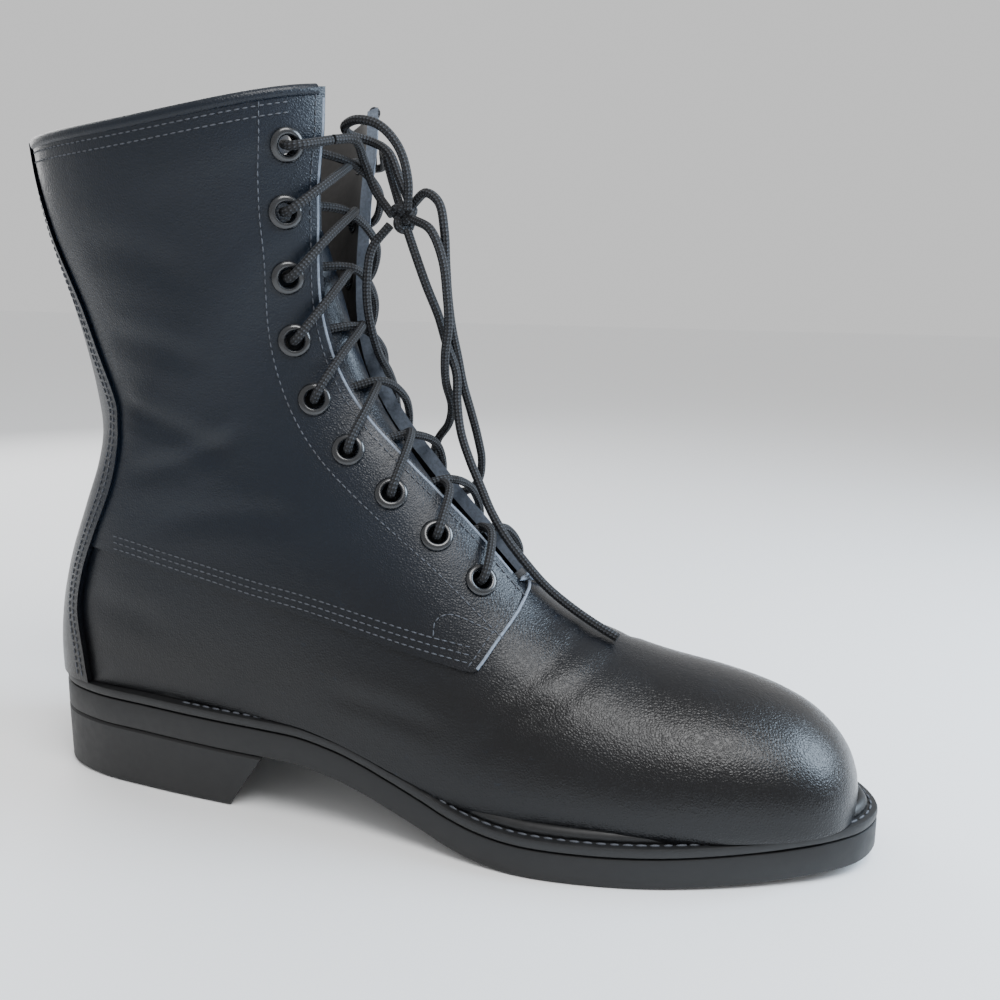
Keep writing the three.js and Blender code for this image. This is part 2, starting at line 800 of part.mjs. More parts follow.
// Tongue: a strip under the throat. Its upper part falls back into the shaft.
function tongueStrip() {
  const [foot, top] = tongueEnds;
  const rings = [];
  for (let s = 0; s <= tongueSteps; s++) {
    const u = lerp(foot, top, s / tongueSteps);
    const [right] = denseRing(u);
    const girth = 2 * right.lengths.at(-1);
    const end = Math.min(1, (1 - s / tongueSteps) * tongueTaper + tongueTip);
    const spread = (tongueHalf * Math.sqrt(end)) / girth;
    const fall = tongueFall * smooth(clamp((u - fallStart) / (top - fallStart), 0, 1));
    const at = (k, depth) =>
      onSurface(u, 0.5 + spread * ((2 * k) / tongueAcross - 1), -depth).add(
        new THREE.Vector3(-fall, 0, 0),
      );
    const outer = [],
      under = [];
    for (let k = 0; k <= tongueAcross; k++) {
      outer.push(at(k, tongueDepth));
      under.unshift(at(k, tongueDepth + tongueThickness));
    }
    rings.push([...outer, ...under]);
  }
  return solidOf(skin(rings));
}
const tongue = tongueStrip().intersect(cavity);

// Backstay: a band over the back seam, cut between two forms that lie outside the quarters
const stayCutter = sidePrism([
  ...stayEdge.map((row) => sidePoint(row.along, row.rise)),
  sidePoint(pastBack, pastTop),
  sidePoint(pastBack, stayEdge[0].rise),
]);

const seam = quarterStep + clear;
const backstay = form(seam + stayThickness)
  .intersect(stayCutter)
  .subtract(form(clear, 0, 0))
  .subtract(form(seam, 0, 0).intersect(sidePrism(quarterOutline.map(({ x, y }) => ({ x, y: y - clear })))))
  .subtract(collarCut);

// Eyelets: a barrel through the wall under a flat flange that lies on the quarter
const flangeFoot = quarterStep + 2 * clear;
const flangeTop = flangeFoot + flangeHeight;
const ringProfile = [
  [holeRadius, -wall - clear],
  [holeRadius + barrelWall, -wall - clear],
  [holeRadius + barrelWall, flangeFoot],
  [ringRadius, flangeFoot],
  [holeRadius, flangeTop],
  [holeRadius, -wall - clear],
];
const rings = eyelets.map((eyelet) => onEyelet(ringProfile, eyelet));

// Lace crossings: each strand comes out of an eyelet, passes over the facing's edge, crosses
// its mate over the tongue, dives under the other facing and comes up the next eyelet.
// A stop is a distance past the facing's edge on its own side, and a height over the upper.
const laceRadius = laceDiameter / 2;
const laceUnder = wall + clear * 3 + laceRadius;
const laceOver = flangeTop + laceRadius + clear * 2;
const overStops = table(
  ["past", "off"],
  [
    [eyeletInset, -clear],
    [eyeletInset - clear, flangeTop + laceRadius / 2],
    [eyeletInset - holeRadius, laceOver + clear],
    [-laceRadius, quarterStep + laceRadius * 1.8],
  ],
);
const underStops = table(
  ["past", "off"],
  [
    [-laceRadius * 2.2, -laceUnder - clear / 2],
    [eyeletInset / 2, -laceUnder],
    [eyeletInset - laceRadius, -laceUnder],
  ],
);
const eyeletOf = (row, side) => eyelets.find((one) => one.row === row && one.side === side);

// Point at a distance past the facing's edge on one side, raised off the upper's base form
function onFacing(u, side, past, off) {
  return onSurface(u, stepsFromRidge(u, side, past), off);
}

function strandRoute(firstSide) {
  const points = [];
  const low = eyeletOf(eyeletRows - 1, firstSide);
  points.push(onSurface(low.u, 0.5, -laceUnder));
  for (const { past, off } of underStops) points.push(onFacing(low.u, firstSide, past, off));
  for (let row = eyeletRows - 1, side = firstSide; row >= 0; row--, side = -side) {
    const from = eyeletOf(row, side);
    const to = eyeletOf(row - 1, -side);
    const width = 2 * (eyeletInset + throatHalf(from.u));
    for (const { past, off } of overStops) {
      const u = to ? lerp(from.u, to.u, (eyeletInset - past) / width) : from.u;
      points.push(onFacing(u, side, past, off));
    }
    if (!to) break;
    const middle = (from.u + to.u) / 2;
    points.push(onSurface(middle, 0.5, (firstSide * laceRadius) / 2 - laceRadius));
    for (const { past, off } of underStops)
      points.push(onFacing(lerp(to.u, from.u, (eyeletInset - past) / width), -side, past, off));
  }
  return points;
}

// A cord through points, with one step from each point to the next
function cord(points, sides) {
  const route = new THREE.CatmullRomCurve3(points, false, "centripetal");
  route.getUtoTmapping = (share) => share;
  const section = new THREE.Shape(
    Array.from({ length: sides }, (_, k) => {
      const angle = (2 * Math.PI * (k + 0.5)) / sides;
      return new THREE.Vector2(laceRadius * Math.cos(angle), laceRadius * Math.sin(angle));
    }),
  );
  const steps = points.length - 1;
  return solidOf(
    new THREE.ExtrudeGeometry(section, { steps, extrudePath: route, bevelEnabled: false }),
  );
}
const crossings = cord(strandRoute(1), laceSides).add(cord(strandRoute(-1), laceSides));

// The free lace: each cord meets the knot's round form with the usual gap.
const freeCords = Object.entries(freeRoutes).map(([name, rows]) => {
  const points = rows.map(({ forward, left, up }) =>
    new THREE.Vector3(forward, left, up).add(knotCentre),
  );
  return { name, solid: cord(points, cordSides) };
});
const knot = solidOf(
  new THREE.IcosahedronGeometry(knotRadius, 1).translate(...knotCentre.toArray()),
);

const boot = new THREE.Group();
function addNode(name, solid, colour) {
  const mesh = new THREE.Mesh(
    geometryOf(solid),
    new THREE.MeshStandardMaterial({ color: colour, roughness: 0.6 }),
  );
  mesh.name = name;
  boot.add(mesh);
}

addNode("outsole", outsole, 0x16181a);
addNode("welt", welt, 0x1b1e22);
addNode("heel", heel, 0x1a1d21);
addNode("insole", insole, 0x8a6a48);
addNode("upper", upper, 0x1e242c);
addNode("tongue", tongue, 0x232a33);
addNode("backstay", backstay, 0x1c2129);
rings.forEach((ring, i) => {
  const { row, side } = eyelets[i];
  addNode(`eyelet_${side > 0 ? "lateral" : "medial"}_${row + 1}`, ring, 0x0c0d0f);
});
addNode("lace_crossings", crossings, 0x23252b);
addNode("lace_knot", knot, 0x23252b);
for (const { name, solid } of freeCords) addNode(`lace_${name}`, solid, 0x23252b);

export default boot;
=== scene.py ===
"""Looks of a lace-up combat boot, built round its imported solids.

The boot's last is worked out here again from the same named sizes as its solids, with finer
steps, and the leather, stitches, laces and sole are dressed on it. Work is in millimetres until
a mesh is handed to its object, which is in metres.
"""

from __future__ import annotations

import logging
import math
from collections.abc import Callable, Sequence
from dataclasses import dataclass, field
from enum import Enum

import bpy
import numpy as np
from mathutils import Matrix, Vector

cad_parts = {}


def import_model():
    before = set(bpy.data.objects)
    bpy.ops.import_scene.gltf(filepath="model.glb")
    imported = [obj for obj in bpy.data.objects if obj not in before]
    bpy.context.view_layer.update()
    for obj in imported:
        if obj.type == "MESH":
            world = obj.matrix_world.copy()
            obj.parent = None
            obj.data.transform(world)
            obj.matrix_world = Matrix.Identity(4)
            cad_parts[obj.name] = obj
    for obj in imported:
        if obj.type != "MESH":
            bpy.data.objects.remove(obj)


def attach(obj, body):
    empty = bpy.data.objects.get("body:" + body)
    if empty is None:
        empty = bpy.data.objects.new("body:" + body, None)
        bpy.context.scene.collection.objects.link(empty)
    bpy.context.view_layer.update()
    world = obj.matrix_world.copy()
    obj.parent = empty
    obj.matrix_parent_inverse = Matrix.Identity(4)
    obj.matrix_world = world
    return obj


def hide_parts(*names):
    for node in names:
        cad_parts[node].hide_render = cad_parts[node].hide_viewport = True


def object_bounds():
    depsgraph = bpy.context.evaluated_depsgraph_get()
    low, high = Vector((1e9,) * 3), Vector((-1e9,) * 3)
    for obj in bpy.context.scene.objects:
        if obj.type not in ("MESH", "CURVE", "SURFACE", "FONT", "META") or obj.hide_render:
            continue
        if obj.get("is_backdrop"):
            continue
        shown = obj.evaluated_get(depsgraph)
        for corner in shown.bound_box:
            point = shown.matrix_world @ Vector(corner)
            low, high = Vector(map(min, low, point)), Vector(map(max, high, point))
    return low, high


LOG = logging.getLogger("boot")
MILLIMETRE = 0.001
EYELET_SIDES = 32  # faces round each ring
FLANGE_FOOT = 1.9  # height of a ring's underside over the base leather
LACE_STEP = 1.0  # length of one step along a free cord
FLOOR_HALF = 6.0  # half width of the floor, in metres


class Side(Enum):
    """The two sides of the boot, with the sign of Y that each faces."""

    LATERAL = -1
    MEDIAL = 1


class Join(Enum):
    """How two solids are put together."""

    CUT = "DIFFERENCE"
    KEEP = "INTERSECT"


class Slot(Enum):
    """Material slots of the part's record."""

    UPPER = "upper_leather"
    SOLE = "sole_rubber"
    WELT = "welt"
    INSOLE = "insole_leather"
    LACE = "lace_cord"
    EYELET = "eyelet_enamel"


@dataclass(frozen=True)
class Table:
    """A short table with named columns."""

    columns: tuple[str, ...]
    rows: np.ndarray

    def column(self, name: str) -> np.ndarray:
        """Values of one column."""
        return self.rows[:, self.columns.index(name)]

    def between(self, index: np.ndarray, share: np.ndarray) -> np.ndarray:
        """Smooth values of all columns between rows.

        Args:
            index: the row before each place.
            share: how far each place lies towards the next row.

        Returns:
            One row of values for each place.
        """
        rows = self.rows
        last = len(rows) - 1
        p1, p2 = rows[index], rows[index + 1]
        p0 = np.where((index > 0)[:, None], rows[np.maximum(index - 1, 0)], 2 * p1 - p2)
        p3 = np.where((index + 2 <= last)[:, None], rows[np.minimum(index + 2, last)], 2 * p2 - p1)
        t = share[:, None]
        return 0.5 * (
            2 * p1
            + (p2 - p0) * t
            + (2 * p0 - 5 * p1 + 4 * p2 - p3) * t**2
            + (3 * p1 - p0 - 3 * p2 + p3) * t**3
        )

    def look_up(self, key: str, value: str, at: np.ndarray | float) -> np.ndarray:
        """Value of one column where another column has the given values.

        Args:
            key: the column that rises from row to row.
            value: the column to read.
            at: values of the key.

        Returns:
            The smooth values, in the shape of the question.
        """
        places = np.asarray(at, float).ravel()
        keys = self.column(key)
        index = np.clip(np.searchsorted(keys, places, side="right") - 1, 0, len(keys) - 2)
        share = (places - keys[index]) / (keys[index + 1] - keys[index])
        return self.between(index, share)[:, self.columns.index(value)]


def table(columns: str, *rows: tuple[float, ...]) -> Table:
    """A table from its column names, apart by spaces, and its rows."""
    return Table(tuple(columns.split()), np.array(rows))


ROUTE = "forward left up"

# Sections of the last, toe to collar: shares of the sole's length, shaft height and ball width
SECTIONS = table(
    "base rise ridge crown half swing waist under over",
    (0.9791, 0.0017, 0.9787, 0.0234, 0.028, 0.033, 0.5, 2.2, 2.2),
    (0.977, -0.0245, 0.975, 0.0498, 0.104, 0.034, 0.5, 2.5, 2.2),
    (0.9689, -0.048, 0.9642, 0.084, 0.179, 0.038, 0.46, 2.7, 2.15),
    (0.951, -0.048, 0.9446, 0.1173, 0.245, 0.042, 0.43, 2.9, 2.1),
    (0.9216, -0.048, 0.9155, 0.1486, 0.302, 0.047, 0.4, 3, 2.05),
    (0.8767, -0.048, 0.8733, 0.1757, 0.351, 0.05, 0.38, 3.1, 2),
    (0.8209, -0.048, 0.8209, 0.1977, 0.392, 0.047, 0.36, 3.1, 1.92),
    (0.7534, -0.048, 0.7584, 0.2174, 0.421, 0.038, 0.34, 3.1, 1.84),
    (0.6824, -0.048, 0.6976, 0.2447, 0.427, 0.021, 0.32, 3, 1.8),
    (0.6081, -0.0793, 0.6436, 0.2788, 0.413, 0.004, 0.33, 3, 1.8),
    (0.5304, -0.1283, 0.6014, 0.3253, 0.387, -0.012, 0.35, 3, 1.82),
    (0.4392, -0.1646, 0.5591, 0.3819, 0.363, -0.023, 0.38, 3, 1.86),
    (0.3446, -0.1683, 0.5169, 0.4276, 0.347, -0.021, 0.4, 3, 1.92),
    (0.2534, -0.1532, 0.4807, 0.4692, 0.34, -0.012, 0.42, 3, 1.98),
    (0.1655, -0.1471, 0.4507, 0.5093, 0.338, -0.005, 0.43, 2.9, 2.02),
    (0.0845, -0.1428, 0.4284, 0.5526, 0.336, 0, 0.43, 2.8, 2.05),
    (0.022, -0.1191, 0.4135, 0.5968, 0.334, 0, 0.43, 2.7, 2.08),
    (0.0061, -0.0278, 0.4041, 0.64, 0.333, 0, 0.43, 2.45, 2.1),
    (0.0051, 0.0611, 0.3986, 0.6818, 0.334, 0, 0.44, 2.25, 2.12),
    (0.0176, 0.1501, 0.3963, 0.722, 0.336, 0, 0.45, 2.1, 2.15),
    (0.0405, 0.2344, 0.3953, 0.7602, 0.338, 0, 0.46, 2, 2.2),
    (0.0628, 0.3162, 0.3953, 0.7939, 0.342, 0, 0.47, 1.9, 2.22),
    (0.0736, 0.3956, 0.3956, 0.8228, 0.347, 0, 0.48, 1.85, 2.25),
    (0.0689, 0.4773, 0.3963, 0.8494, 0.357, 0, 0.48, 1.87, 2.25),
    (0.0574, 0.5638, 0.3973, 0.8762, 0.374, 0, 0.48, 1.9, 2.25),
    (0.0422, 0.6551, 0.3986, 0.903, 0.396, 0, 0.48, 1.95, 2.25),
    (0.0274, 0.7415, 0.4, 0.9298, 0.423, 0, 0.48, 2, 2.25),
    (0.0152, 0.8232, 0.4, 0.9615, 0.443, 0, 0.48, 2, 2.25),
    (0.0088, 0.9015, 0.4, 0.9903, 0.46, 0, 0.48, 2, 2.25),
)

# The sole's outline in plan: shares of its length and of the ball width
SOLE_SIDES = table(
    "along right left",
    (0.012, 0.155, 0.155), (0.045, 0.262, 0.262), (0.1, 0.325, 0.322), (0.18, 0.352, 0.345),
    (0.27, 0.365, 0.333), (0.36, 0.366, 0.3), (0.45, 0.376, 0.3), (0.54, 0.408, 0.355),
    (0.6, 0.438, 0.425), (0.66, 0.452, 0.49), (0.72, 0.435, 0.525), (0.79, 0.387, 0.51),
    (0.86, 0.31, 0.455), (0.92, 0.225, 0.368), (0.96, 0.155, 0.275), (0.987, 0.08, 0.165),
)

# The share of the heel's drop that is left along the sole
WAIST_DROP = table(
    "along left",
    (0, 1), (0.17, 0.99), (0.27, 0.95), (0.34, 0.92), (0.385, 0.89), (0.432, 0.77), (0.47, 0.62),
    (0.507, 0.455), (0.53, 0.345), (0.564, 0.185), (0.605, 0.06), (0.642, 0.01), (0.69, 0),
    (1, 0),
)

# Lower edge of the quarters in the side view
QUARTER_EDGE = table(
    "along rise",
    (-0.1, 0.249), (0.1, 0.245), (0.15, 0.238), (0.205, 0.222), (0.257, 0.207), (0.323, 0.189),
    (0.389, 0.174), (0.45, 0.156), (0.507, 0.138), (0.55, 0.124), (0.587, 0.115), (0.592, 0.127),
    (0.598, 0.144), (0.604, 0.161), (0.61, 0.179), (0.613, 0.196), (0.612, 0.214), (0.604, 0.23),
    (0.66, 0.323), (0.7, 0.6),
)

# Half width of the throat, a share of the ball width
THROAT_WIDTHS = table(
    "place half",
    (0.3, 0.06), (0.36, 0.072), (0.4, 0.092), (0.45, 0.112), (0.5, 0.125), (0.56, 0.134),
    (0.63, 0.147), (0.71, 0.163), (0.81, 0.175), (0.9, 0.178), (1, 0.18), (1.1, 0.182),
)

# Front edge of the backstay in the side view
STAY_EDGE = table(
    "along rise",
    (0.09, -0.046), (0.09, -0.007), (0.086, 0.05), (0.078, 0.132), (0.09, 0.199), (0.113, 0.267),
    (0.144, 0.353), (0.155, 0.421), (0.152, 0.464), (0.137, 0.512), (0.118, 0.565),
    (0.098, 0.642), (0.069, 0.728), (0.047, 0.815), (0.032, 0.901), (0.027, 1.012),
)

# Routes of the free lace, from the knot's centre
FREE_ROUTES: dict[str, Table] = {
    "strand_lateral": table(
        ROUTE,
        (-15.7, -19, 22.3), (-12.6, -10.4, 23.2), (-14.2, -0.6, 18.2), (-12.6, 4.6, 9.2),
        (-5.1, 1.6, 0.9),
    ),
    "strand_medial": table(
        ROUTE,
        (-15.7, 18, 22.3), (-13.4, 13, 22.9), (-10.3, 8.9, 19.4), (-7.2, 7, 12),
        (-2.8, 3.2, 3.4),
    ),
    "loop_upper": table(
        ROUTE,
        (3, -4.1, 2), (4.2, -6.6, 11.3), (1.6, -8, 20.9), (-4.8, -8.6, 27.7), (-13, -7.7, 29.8),
        (-19.6, -3.6, 28.4), (-20.2, 3.2, 26.6), (-14.6, 7.2, 24.9), (-7.6, 4.8, 21),
        (-3.5, 4.3, 12.8), (0.8, 2.9, 4.5),
    ),
    "loop_lower": table(
        ROUTE,
        (3.4, -0.2, 4.2), (8.5, -2.2, 7.4), (14, -4.2, 4), (16, -4.4, -4.8), (15.7, -2.1, -14.7),
        (15.9, -0.6, -25), (16.4, 1.8, -35.1), (17.2, 5.6, -45), (18.1, 8.8, -54.7),
        (19.5, 12.9, -64.2), (20.6, 17.1, -73.6), (20.6, 21.7, -82.8), (17, 27, -91.6),
        (9.7, 30.2, -95.9), (1.9, 29.4, -91.5), (1, 25.2, -82.6), (4.3, 20.4, -75.7),
        (10.6, 14.8, -69), (14, 8.6, -61.9), (14.2, 2.5, -53.5), (15.9, -2.7, -44.2),
        (17.9, -5, -34.6), (18, -6.9, -24.5), (16.9, -8.2, -13.8), (12.4, -7.2, -4.6),
        (4.5, -2.7, -1),
    ),
    "end_long": table(
        ROUTE,
        (2.1, -2, -4.5), (6.4, -5, -12.7), (10, -4.7, -22.1), (13.4, -2.6, -31.6),
        (15, 0.9, -40.9), (17.5, 3.6, -50.5), (17.9, 3.7, -60.4), (19.4, 3.6, -70.5),
        (22.9, 3.4, -80), (27.8, 0.9, -88.2), (33.2, -3.2, -95.8), (39.2, -5, -103.6),
        (45.5, -4.1, -111.4), (51.8, -1.9, -119), (59.2, -0.6, -125.1), (68.2, -1.8, -129.9),
        (77.3, -2.9, -134),
    ),
    "end_short": table(
        ROUTE,
        (-4.7, -0.8, -2.6), (-10.9, -1.4, -10), (-12.8, -1.6, -20), (-13.1, -0.4, -29.8),
        (-12.7, 3, -39.2), (-13.4, 9.8, -46.1), (-13.8, 18.2, -52.3), (-15.2, 26.6, -59.5),
        (-15.2, 29.6, -68.3), (-11.5, 29.9, -77), (-6.7, 31.8, -85.5), (-1.4, 33.1, -93.8),
        (5, 33.4, -101.5), (12.1, 33.6, -109), (18.6, 35.4, -117), (24, 38, -125.5),
    ),
}


@dataclass(frozen=True)
class Sizes:
    """Sizes of the boot in millimetres, as in the part's source."""

    sole_length: float = 296
    ball_width: float = 106
    shaft_height: float = 208
    heel_stack: float = 34.5
    fore_stack: float = 13
    toe_spring: float = 4.5
    spring_start: float = 0.72
    heel_centre: float = 40
    tip_swing: float = 0.03
    clear: float = 0.3
    wall: float = 2.4
    quarter_step: float = 1.3
    stay_thickness: float = 1.2
    welt_thickness: float = 3.2
    outsole_thickness: float = 9.6
    edge_round: float = 0.8
    welt_show: float = 6
    welt_reach: float = 17
    insole_thickness: float = 3
    board_inset: float = 12.5
    tongue_thickness: float = 2.6
    collar_dip: float = 6
    heel_length: float = 87
    breast_slant: float = 0.66
    breast_hollow: float = 16
    breast_half: float = 38
    heel_taper: float = 0.4
    eyelet_rows: int = 9
    eyelet_inset: float = 12
    eyelet_top: float = 0.91
    eyelet_foot: float = 0.376
    hole_radius: float = 3
    barrel_wall: float = 0.45
    flange_height: float = 1
    lace_radius: float = 1.5
    tongue_half: float = 31
    tongue_depth: float = 7.1
    tongue_fall: float = 26
    tongue_foot: float = 0.325
    tongue_top: float = 0.965
    fall_start: float = 0.58
    tongue_taper: float = 9
    tongue_tip: float = 0.55
    throat_end: float = 0.36
    facing_end: float = 0.3
    slack: float = 20


SIZES = Sizes()


def smooth(share: np.ndarray) -> np.ndarray:
    """Ease a share between 0 and 1."""
    held = np.clip(share, 0, 1)
    return held * held * (3 - 2 * held)


def seat(x: np.ndarray) -> np.ndarray:
    """Height of the plane that the upper stands on.

    Args:
        x: distances from the origin towards the toe.

    Returns:
        Height over the floor at each.
    """
    along = (np.asarray(x, float) + SIZES.heel_centre) / SIZES.sole_length
    drop = np.clip(WAIST_DROP.look_up("along", "left", np.clip(along, 0, 1)), 0, 1)
    spring = np.maximum(0, (along - SIZES.spring_start) / (1 - SIZES.spring_start)) ** 2
    return (
        SIZES.fore_stack
        + (SIZES.heel_stack - SIZES.fore_stack) * drop.reshape(along.shape)
        + SIZES.toe_spring * spring
    )


@dataclass(frozen=True)
class Fold:
    """A soft trough in the leather, with low ridges beside it, placed on one side.

    Its ends are places in the side view, in millimetres from the origin.
    """

    side: Side | None
    start: tuple[float, float]
    end: tuple[float, float]
    width: float
    depth: float
    bow: float = 0

    def depth_at(self, points: np.ndarray) -> np.ndarray:
        """How far the fold moves each point out along the surface's normal.

        Args:
            points: places on the last.

        Returns:
            One distance for each point, negative in the trough.
        """
        start, end = np.array(self.start), np.array(self.end)
        run = end - start
        length = float(np.hypot(*run))
        forward = run / length
        across = np.array([-forward[1], forward[0]])
        offset = points[..., [0, 2]] - start
        share = offset @ forward / length
        bowed = self.bow * 4 * np.clip(share, 0, 1) * (1 - np.clip(share, 0, 1))
        t = (offset @ across - bowed) / self.width
        fade = np.exp(-(np.maximum(0, np.abs(share - 0.5) - 0.3) / 0.16) ** 2)
        if self.side is not None:
            fade = fade * smooth(points[..., 1] * self.side.value / 9)
        return -self.depth * (1 - 1.6 * t * t) * np.exp(-t * t) * fade


FOLDS: tuple[Fold, ...] = (
    # ankle and waist of the shaft, both sides
    Fold(Side.LATERAL, (5, 136), (48, 118), 5, 1.1, 2),
    Fold(Side.LATERAL, (8, 112), (52, 128), 5, 0.8, -2),
    Fold(Side.LATERAL, (2, 158), (40, 150), 6, 0.7, 2),
    Fold(Side.LATERAL, (20, 96), (74, 100), 6, 0.7, 3),
    Fold(Side.LATERAL, (-2, 186), (36, 178), 8, 0.6, 3),
    Fold(Side.LATERAL, (-12, 66), (20, 60), 7, 0.5, 1),
    Fold(Side.MEDIAL, (6, 138), (50, 120), 5, 1.0, 2),
    Fold(Side.MEDIAL, (6, 114), (54, 128), 5, 0.8, -2),
    Fold(Side.MEDIAL, (0, 168), (42, 160), 7, 0.7, 2),
    # where the toes bend
    Fold(None, (142, 48), (166, 68), 3, 0.5, 1),
    Fold(None, (150, 42), (176, 62), 3, 0.45, 1),
    Fold(Side.LATERAL, (136, 34), (158, 50), 4, 0.5, 2),
    Fold(Side.LATERAL, (84, 46), (124, 40), 5, 0.5, 1),
)


class Last:
    """The surface of the last: u runs from toe to collar, a round from the base by the right."""

    samples = 72
    step_u = 0.006
    step_a = 0.012

    def __init__(self) -> None:
        """Start with an empty store of rings."""
        self._rings: dict[int, tuple[np.ndarray, np.ndarray]] = {}

    def ring(self, u: float) -> tuple[np.ndarray, np.ndarray]:
        """Both halves of the section at u, with their lengths so far.

        Args:
            u: place along the last.

        Returns:
            Points of shape (2, samples + 1, 3), right half first, and lengths to match.
        """
        key = round(u * 1e6)
        if key in self._rings:
            return self._rings[key]
        place = u * (len(SECTIONS.rows) - 1)
        index = np.clip(np.array([math.floor(place)]), 0, len(SECTIONS.rows) - 2)
        row = dict(zip(SECTIONS.columns, SECTIONS.between(index, place - index)[0]))
        ends = []
        for along, rise in ((row["base"], row["rise"]), (row["ridge"], row["crown"])):
            x = along * SIZES.sole_length - SIZES.heel_centre
            ends.append((x, float(seat(x)) + SIZES.clear + rise * SIZES.shaft_height))
        (base_x, base_z), (ridge_x, ridge_z) = ends
        angle = np.pi * np.arange(self.samples + 1) / self.samples
        height = -np.cos(angle)
        power = 2 / np.where(height < 0, row["under"], row["over"])
        reach = np.abs(height) ** power
        share = np.where(
            height < 0, row["waist"] * (1 - reach), row["waist"] + (1 - row["waist"]) * reach
        )
        out = row["half"] * SIZES.ball_width * np.maximum(0, np.sin(angle)) ** power
        halves = []
        for sign in (1, -1):
            halves.append(
                np.stack(
                    [
                        base_x + (ridge_x - base_x) * share,
                        row["swing"] * SIZES.ball_width - sign * out,
                        base_z + (ridge_z - base_z) * share,
                    ],
                    1,
                )
            )
        points = np.array(halves)
        lengths = np.zeros(points.shape[:2])
        lengths[:, 1:] = np.cumsum(np.linalg.norm(np.diff(points, axis=1), axis=2), axis=1)
        self._rings[key] = (points, lengths)
        return points, lengths

    def on_ring(self, u: float, a: np.ndarray) -> np.ndarray:
        """Points of one section.

        Args:
            u: place along the last.
            a: places round the section.

        Returns:
            One point for each place.
        """
        points, lengths = self.ring(u)
        turn = np.mod(a, 1)
        share = np.where(turn <= 0.5, turn, 1 - turn) * 2
        found = np.empty((len(turn), 3))
        for half, chosen in ((0, turn <= 0.5), (1, turn > 0.5)):
            goal = share[chosen] * lengths[half, -1]
            for axis in range(3):
                found[chosen, axis] = np.interp(goal, lengths[half], points[half, :, axis])
        return found

    def grid(self, u: np.ndarray, a: np.ndarray) -> np.ndarray:
        """Points where every u meets every a."""
        return np.array([self.on_ring(float(place), a) for place in u])

    def normals(self, u: np.ndarray, a: np.ndarray) -> np.ndarray:
        """Outward normals where every u meets every a.

        Args:
            u: places along the last.
            a: places round it.

        Returns:
            Unit vectors of shape (len(u), len(a), 3).
        """
        along = self.grid(np.clip(u + self.step_u, 0, 1.2), a) - self.grid(
            np.maximum(0, u - self.step_u), a
        )
        around = self.grid(u, a + self.step_a) - self.grid(u, a - self.step_a)
        normal = np.cross(around, along)
        return normal / np.maximum(np.linalg.norm(normal, axis=2, keepdims=True), 1e-9)

    def at(self, u: float, a: float, off: float = 0, folded: bool = True) -> np.ndarray:
        """One point of the surface, raised by off, with the leather's folds if folded."""
        place, turn = np.array([u]), np.array([a])
        point = self.grid(place, turn)[0, 0]
        lift = off + (float(folds_at(point[None])[0]) if folded else 0)
        return point + self.normals(place, turn)[0, 0] * lift

    def normal_at(self, u: float, a: float) -> np.ndarray:
        """Outward normal at one place."""
        return self.normals(np.array([u]), np.array([a]))[0, 0]

    def from_side(self, side: Side, x: float, z: float) -> tuple[float, float]:
        """The place on one side that the side view shows at (x, z).

        Args:
            side: the side looked at.
            x: distance towards the toe.
            z: height over the floor.

        Returns:
            The place along and round the last.
        """
        if not hasattr(self, "_map"):
            u = np.linspace(0.02, 1, 150)
            a = np.linspace(0.04, 0.5, 90)
            self._map = (u, a, self.grid(u, a))
        u, a, points = self._map
        gap = (points[..., 0] - x) ** 2 + (points[..., 2] - z) ** 2
        i, j = np.unravel_index(int(gap.argmin()), gap.shape)
        best_u, best_a = float(u[i]), float(a[j])
        step = 1e-3
        for _ in range(4):
            here = self.grid(np.array([best_u]), np.array([best_a]))[0, 0]
            by_u = self.grid(np.array([best_u + step]), np.array([best_a]))[0, 0] - here
            by_a = self.grid(np.array([best_u]), np.array([best_a + step]))[0, 0] - here
            slope = np.array([[by_u[0], by_a[0]], [by_u[2], by_a[2]]]) / step
            if abs(np.linalg.det(slope)) < 1e-6:
                break
            move = np.linalg.solve(slope, np.array([x - here[0], z - here[2]]))
            move = np.clip(move, -0.02, 0.02)
            best_u = float(np.clip(best_u + move[0], 0, 1.05))
            best_a = float(np.clip(best_a + move[1], 0.01, 0.5))
        return best_u, best_a if side is Side.LATERAL else 1 - best_a

    def throat_half(self, u: float) -> float:
        """Half width of the throat at u."""
        return float(THROAT_WIDTHS.look_up("place", "half", u)[0]) * SIZES.ball_width

    def past_facing(self, u: float, side: Side, distance: float) -> float:
        """Place round the last that lies a distance past the facing's edge.

        Args:
            u: place along the last.
            side: which facing.
            distance: from the facing's edge, down its side.

        Returns:
            The place round the section.
        """
        points, lengths = self.ring(u)
        half = 0 if side is Side.LATERAL else 1
        widths = np.abs(points[half, :, 1])
        limit = self.throat_half(u)
        k = self.samples
        while k > 1 and widths[k] < limit:
            k -= 1
        edge = np.interp(
            limit, [widths[k + 1], widths[k]], [lengths[half, k + 1], lengths[half, k]]
        )
        share = float(np.clip((edge - distance) / lengths[half, -1], 0, 1)) / 2
        return share if side is Side.LATERAL else 1 - share

    def eyelet_places(self) -> list[float]:
        """Places along the last of the rows of eyelets, top row first."""
        u = np.linspace(SIZES.eyelet_top, SIZES.eyelet_foot, 61)
        path = np.array(
            [
                self.at(p, self.past_facing(p, Side.LATERAL, SIZES.eyelet_inset), 0, False)
                for p in u
            ]
        )
        run = np.concatenate([[0], np.cumsum(np.linalg.norm(np.diff(path, axis=0), axis=1))])
        goals = run[-1] * np.arange(SIZES.eyelet_rows) / (SIZES.eyelet_rows - 1)
        return [float(v) for v in np.interp(goals, run, u)]


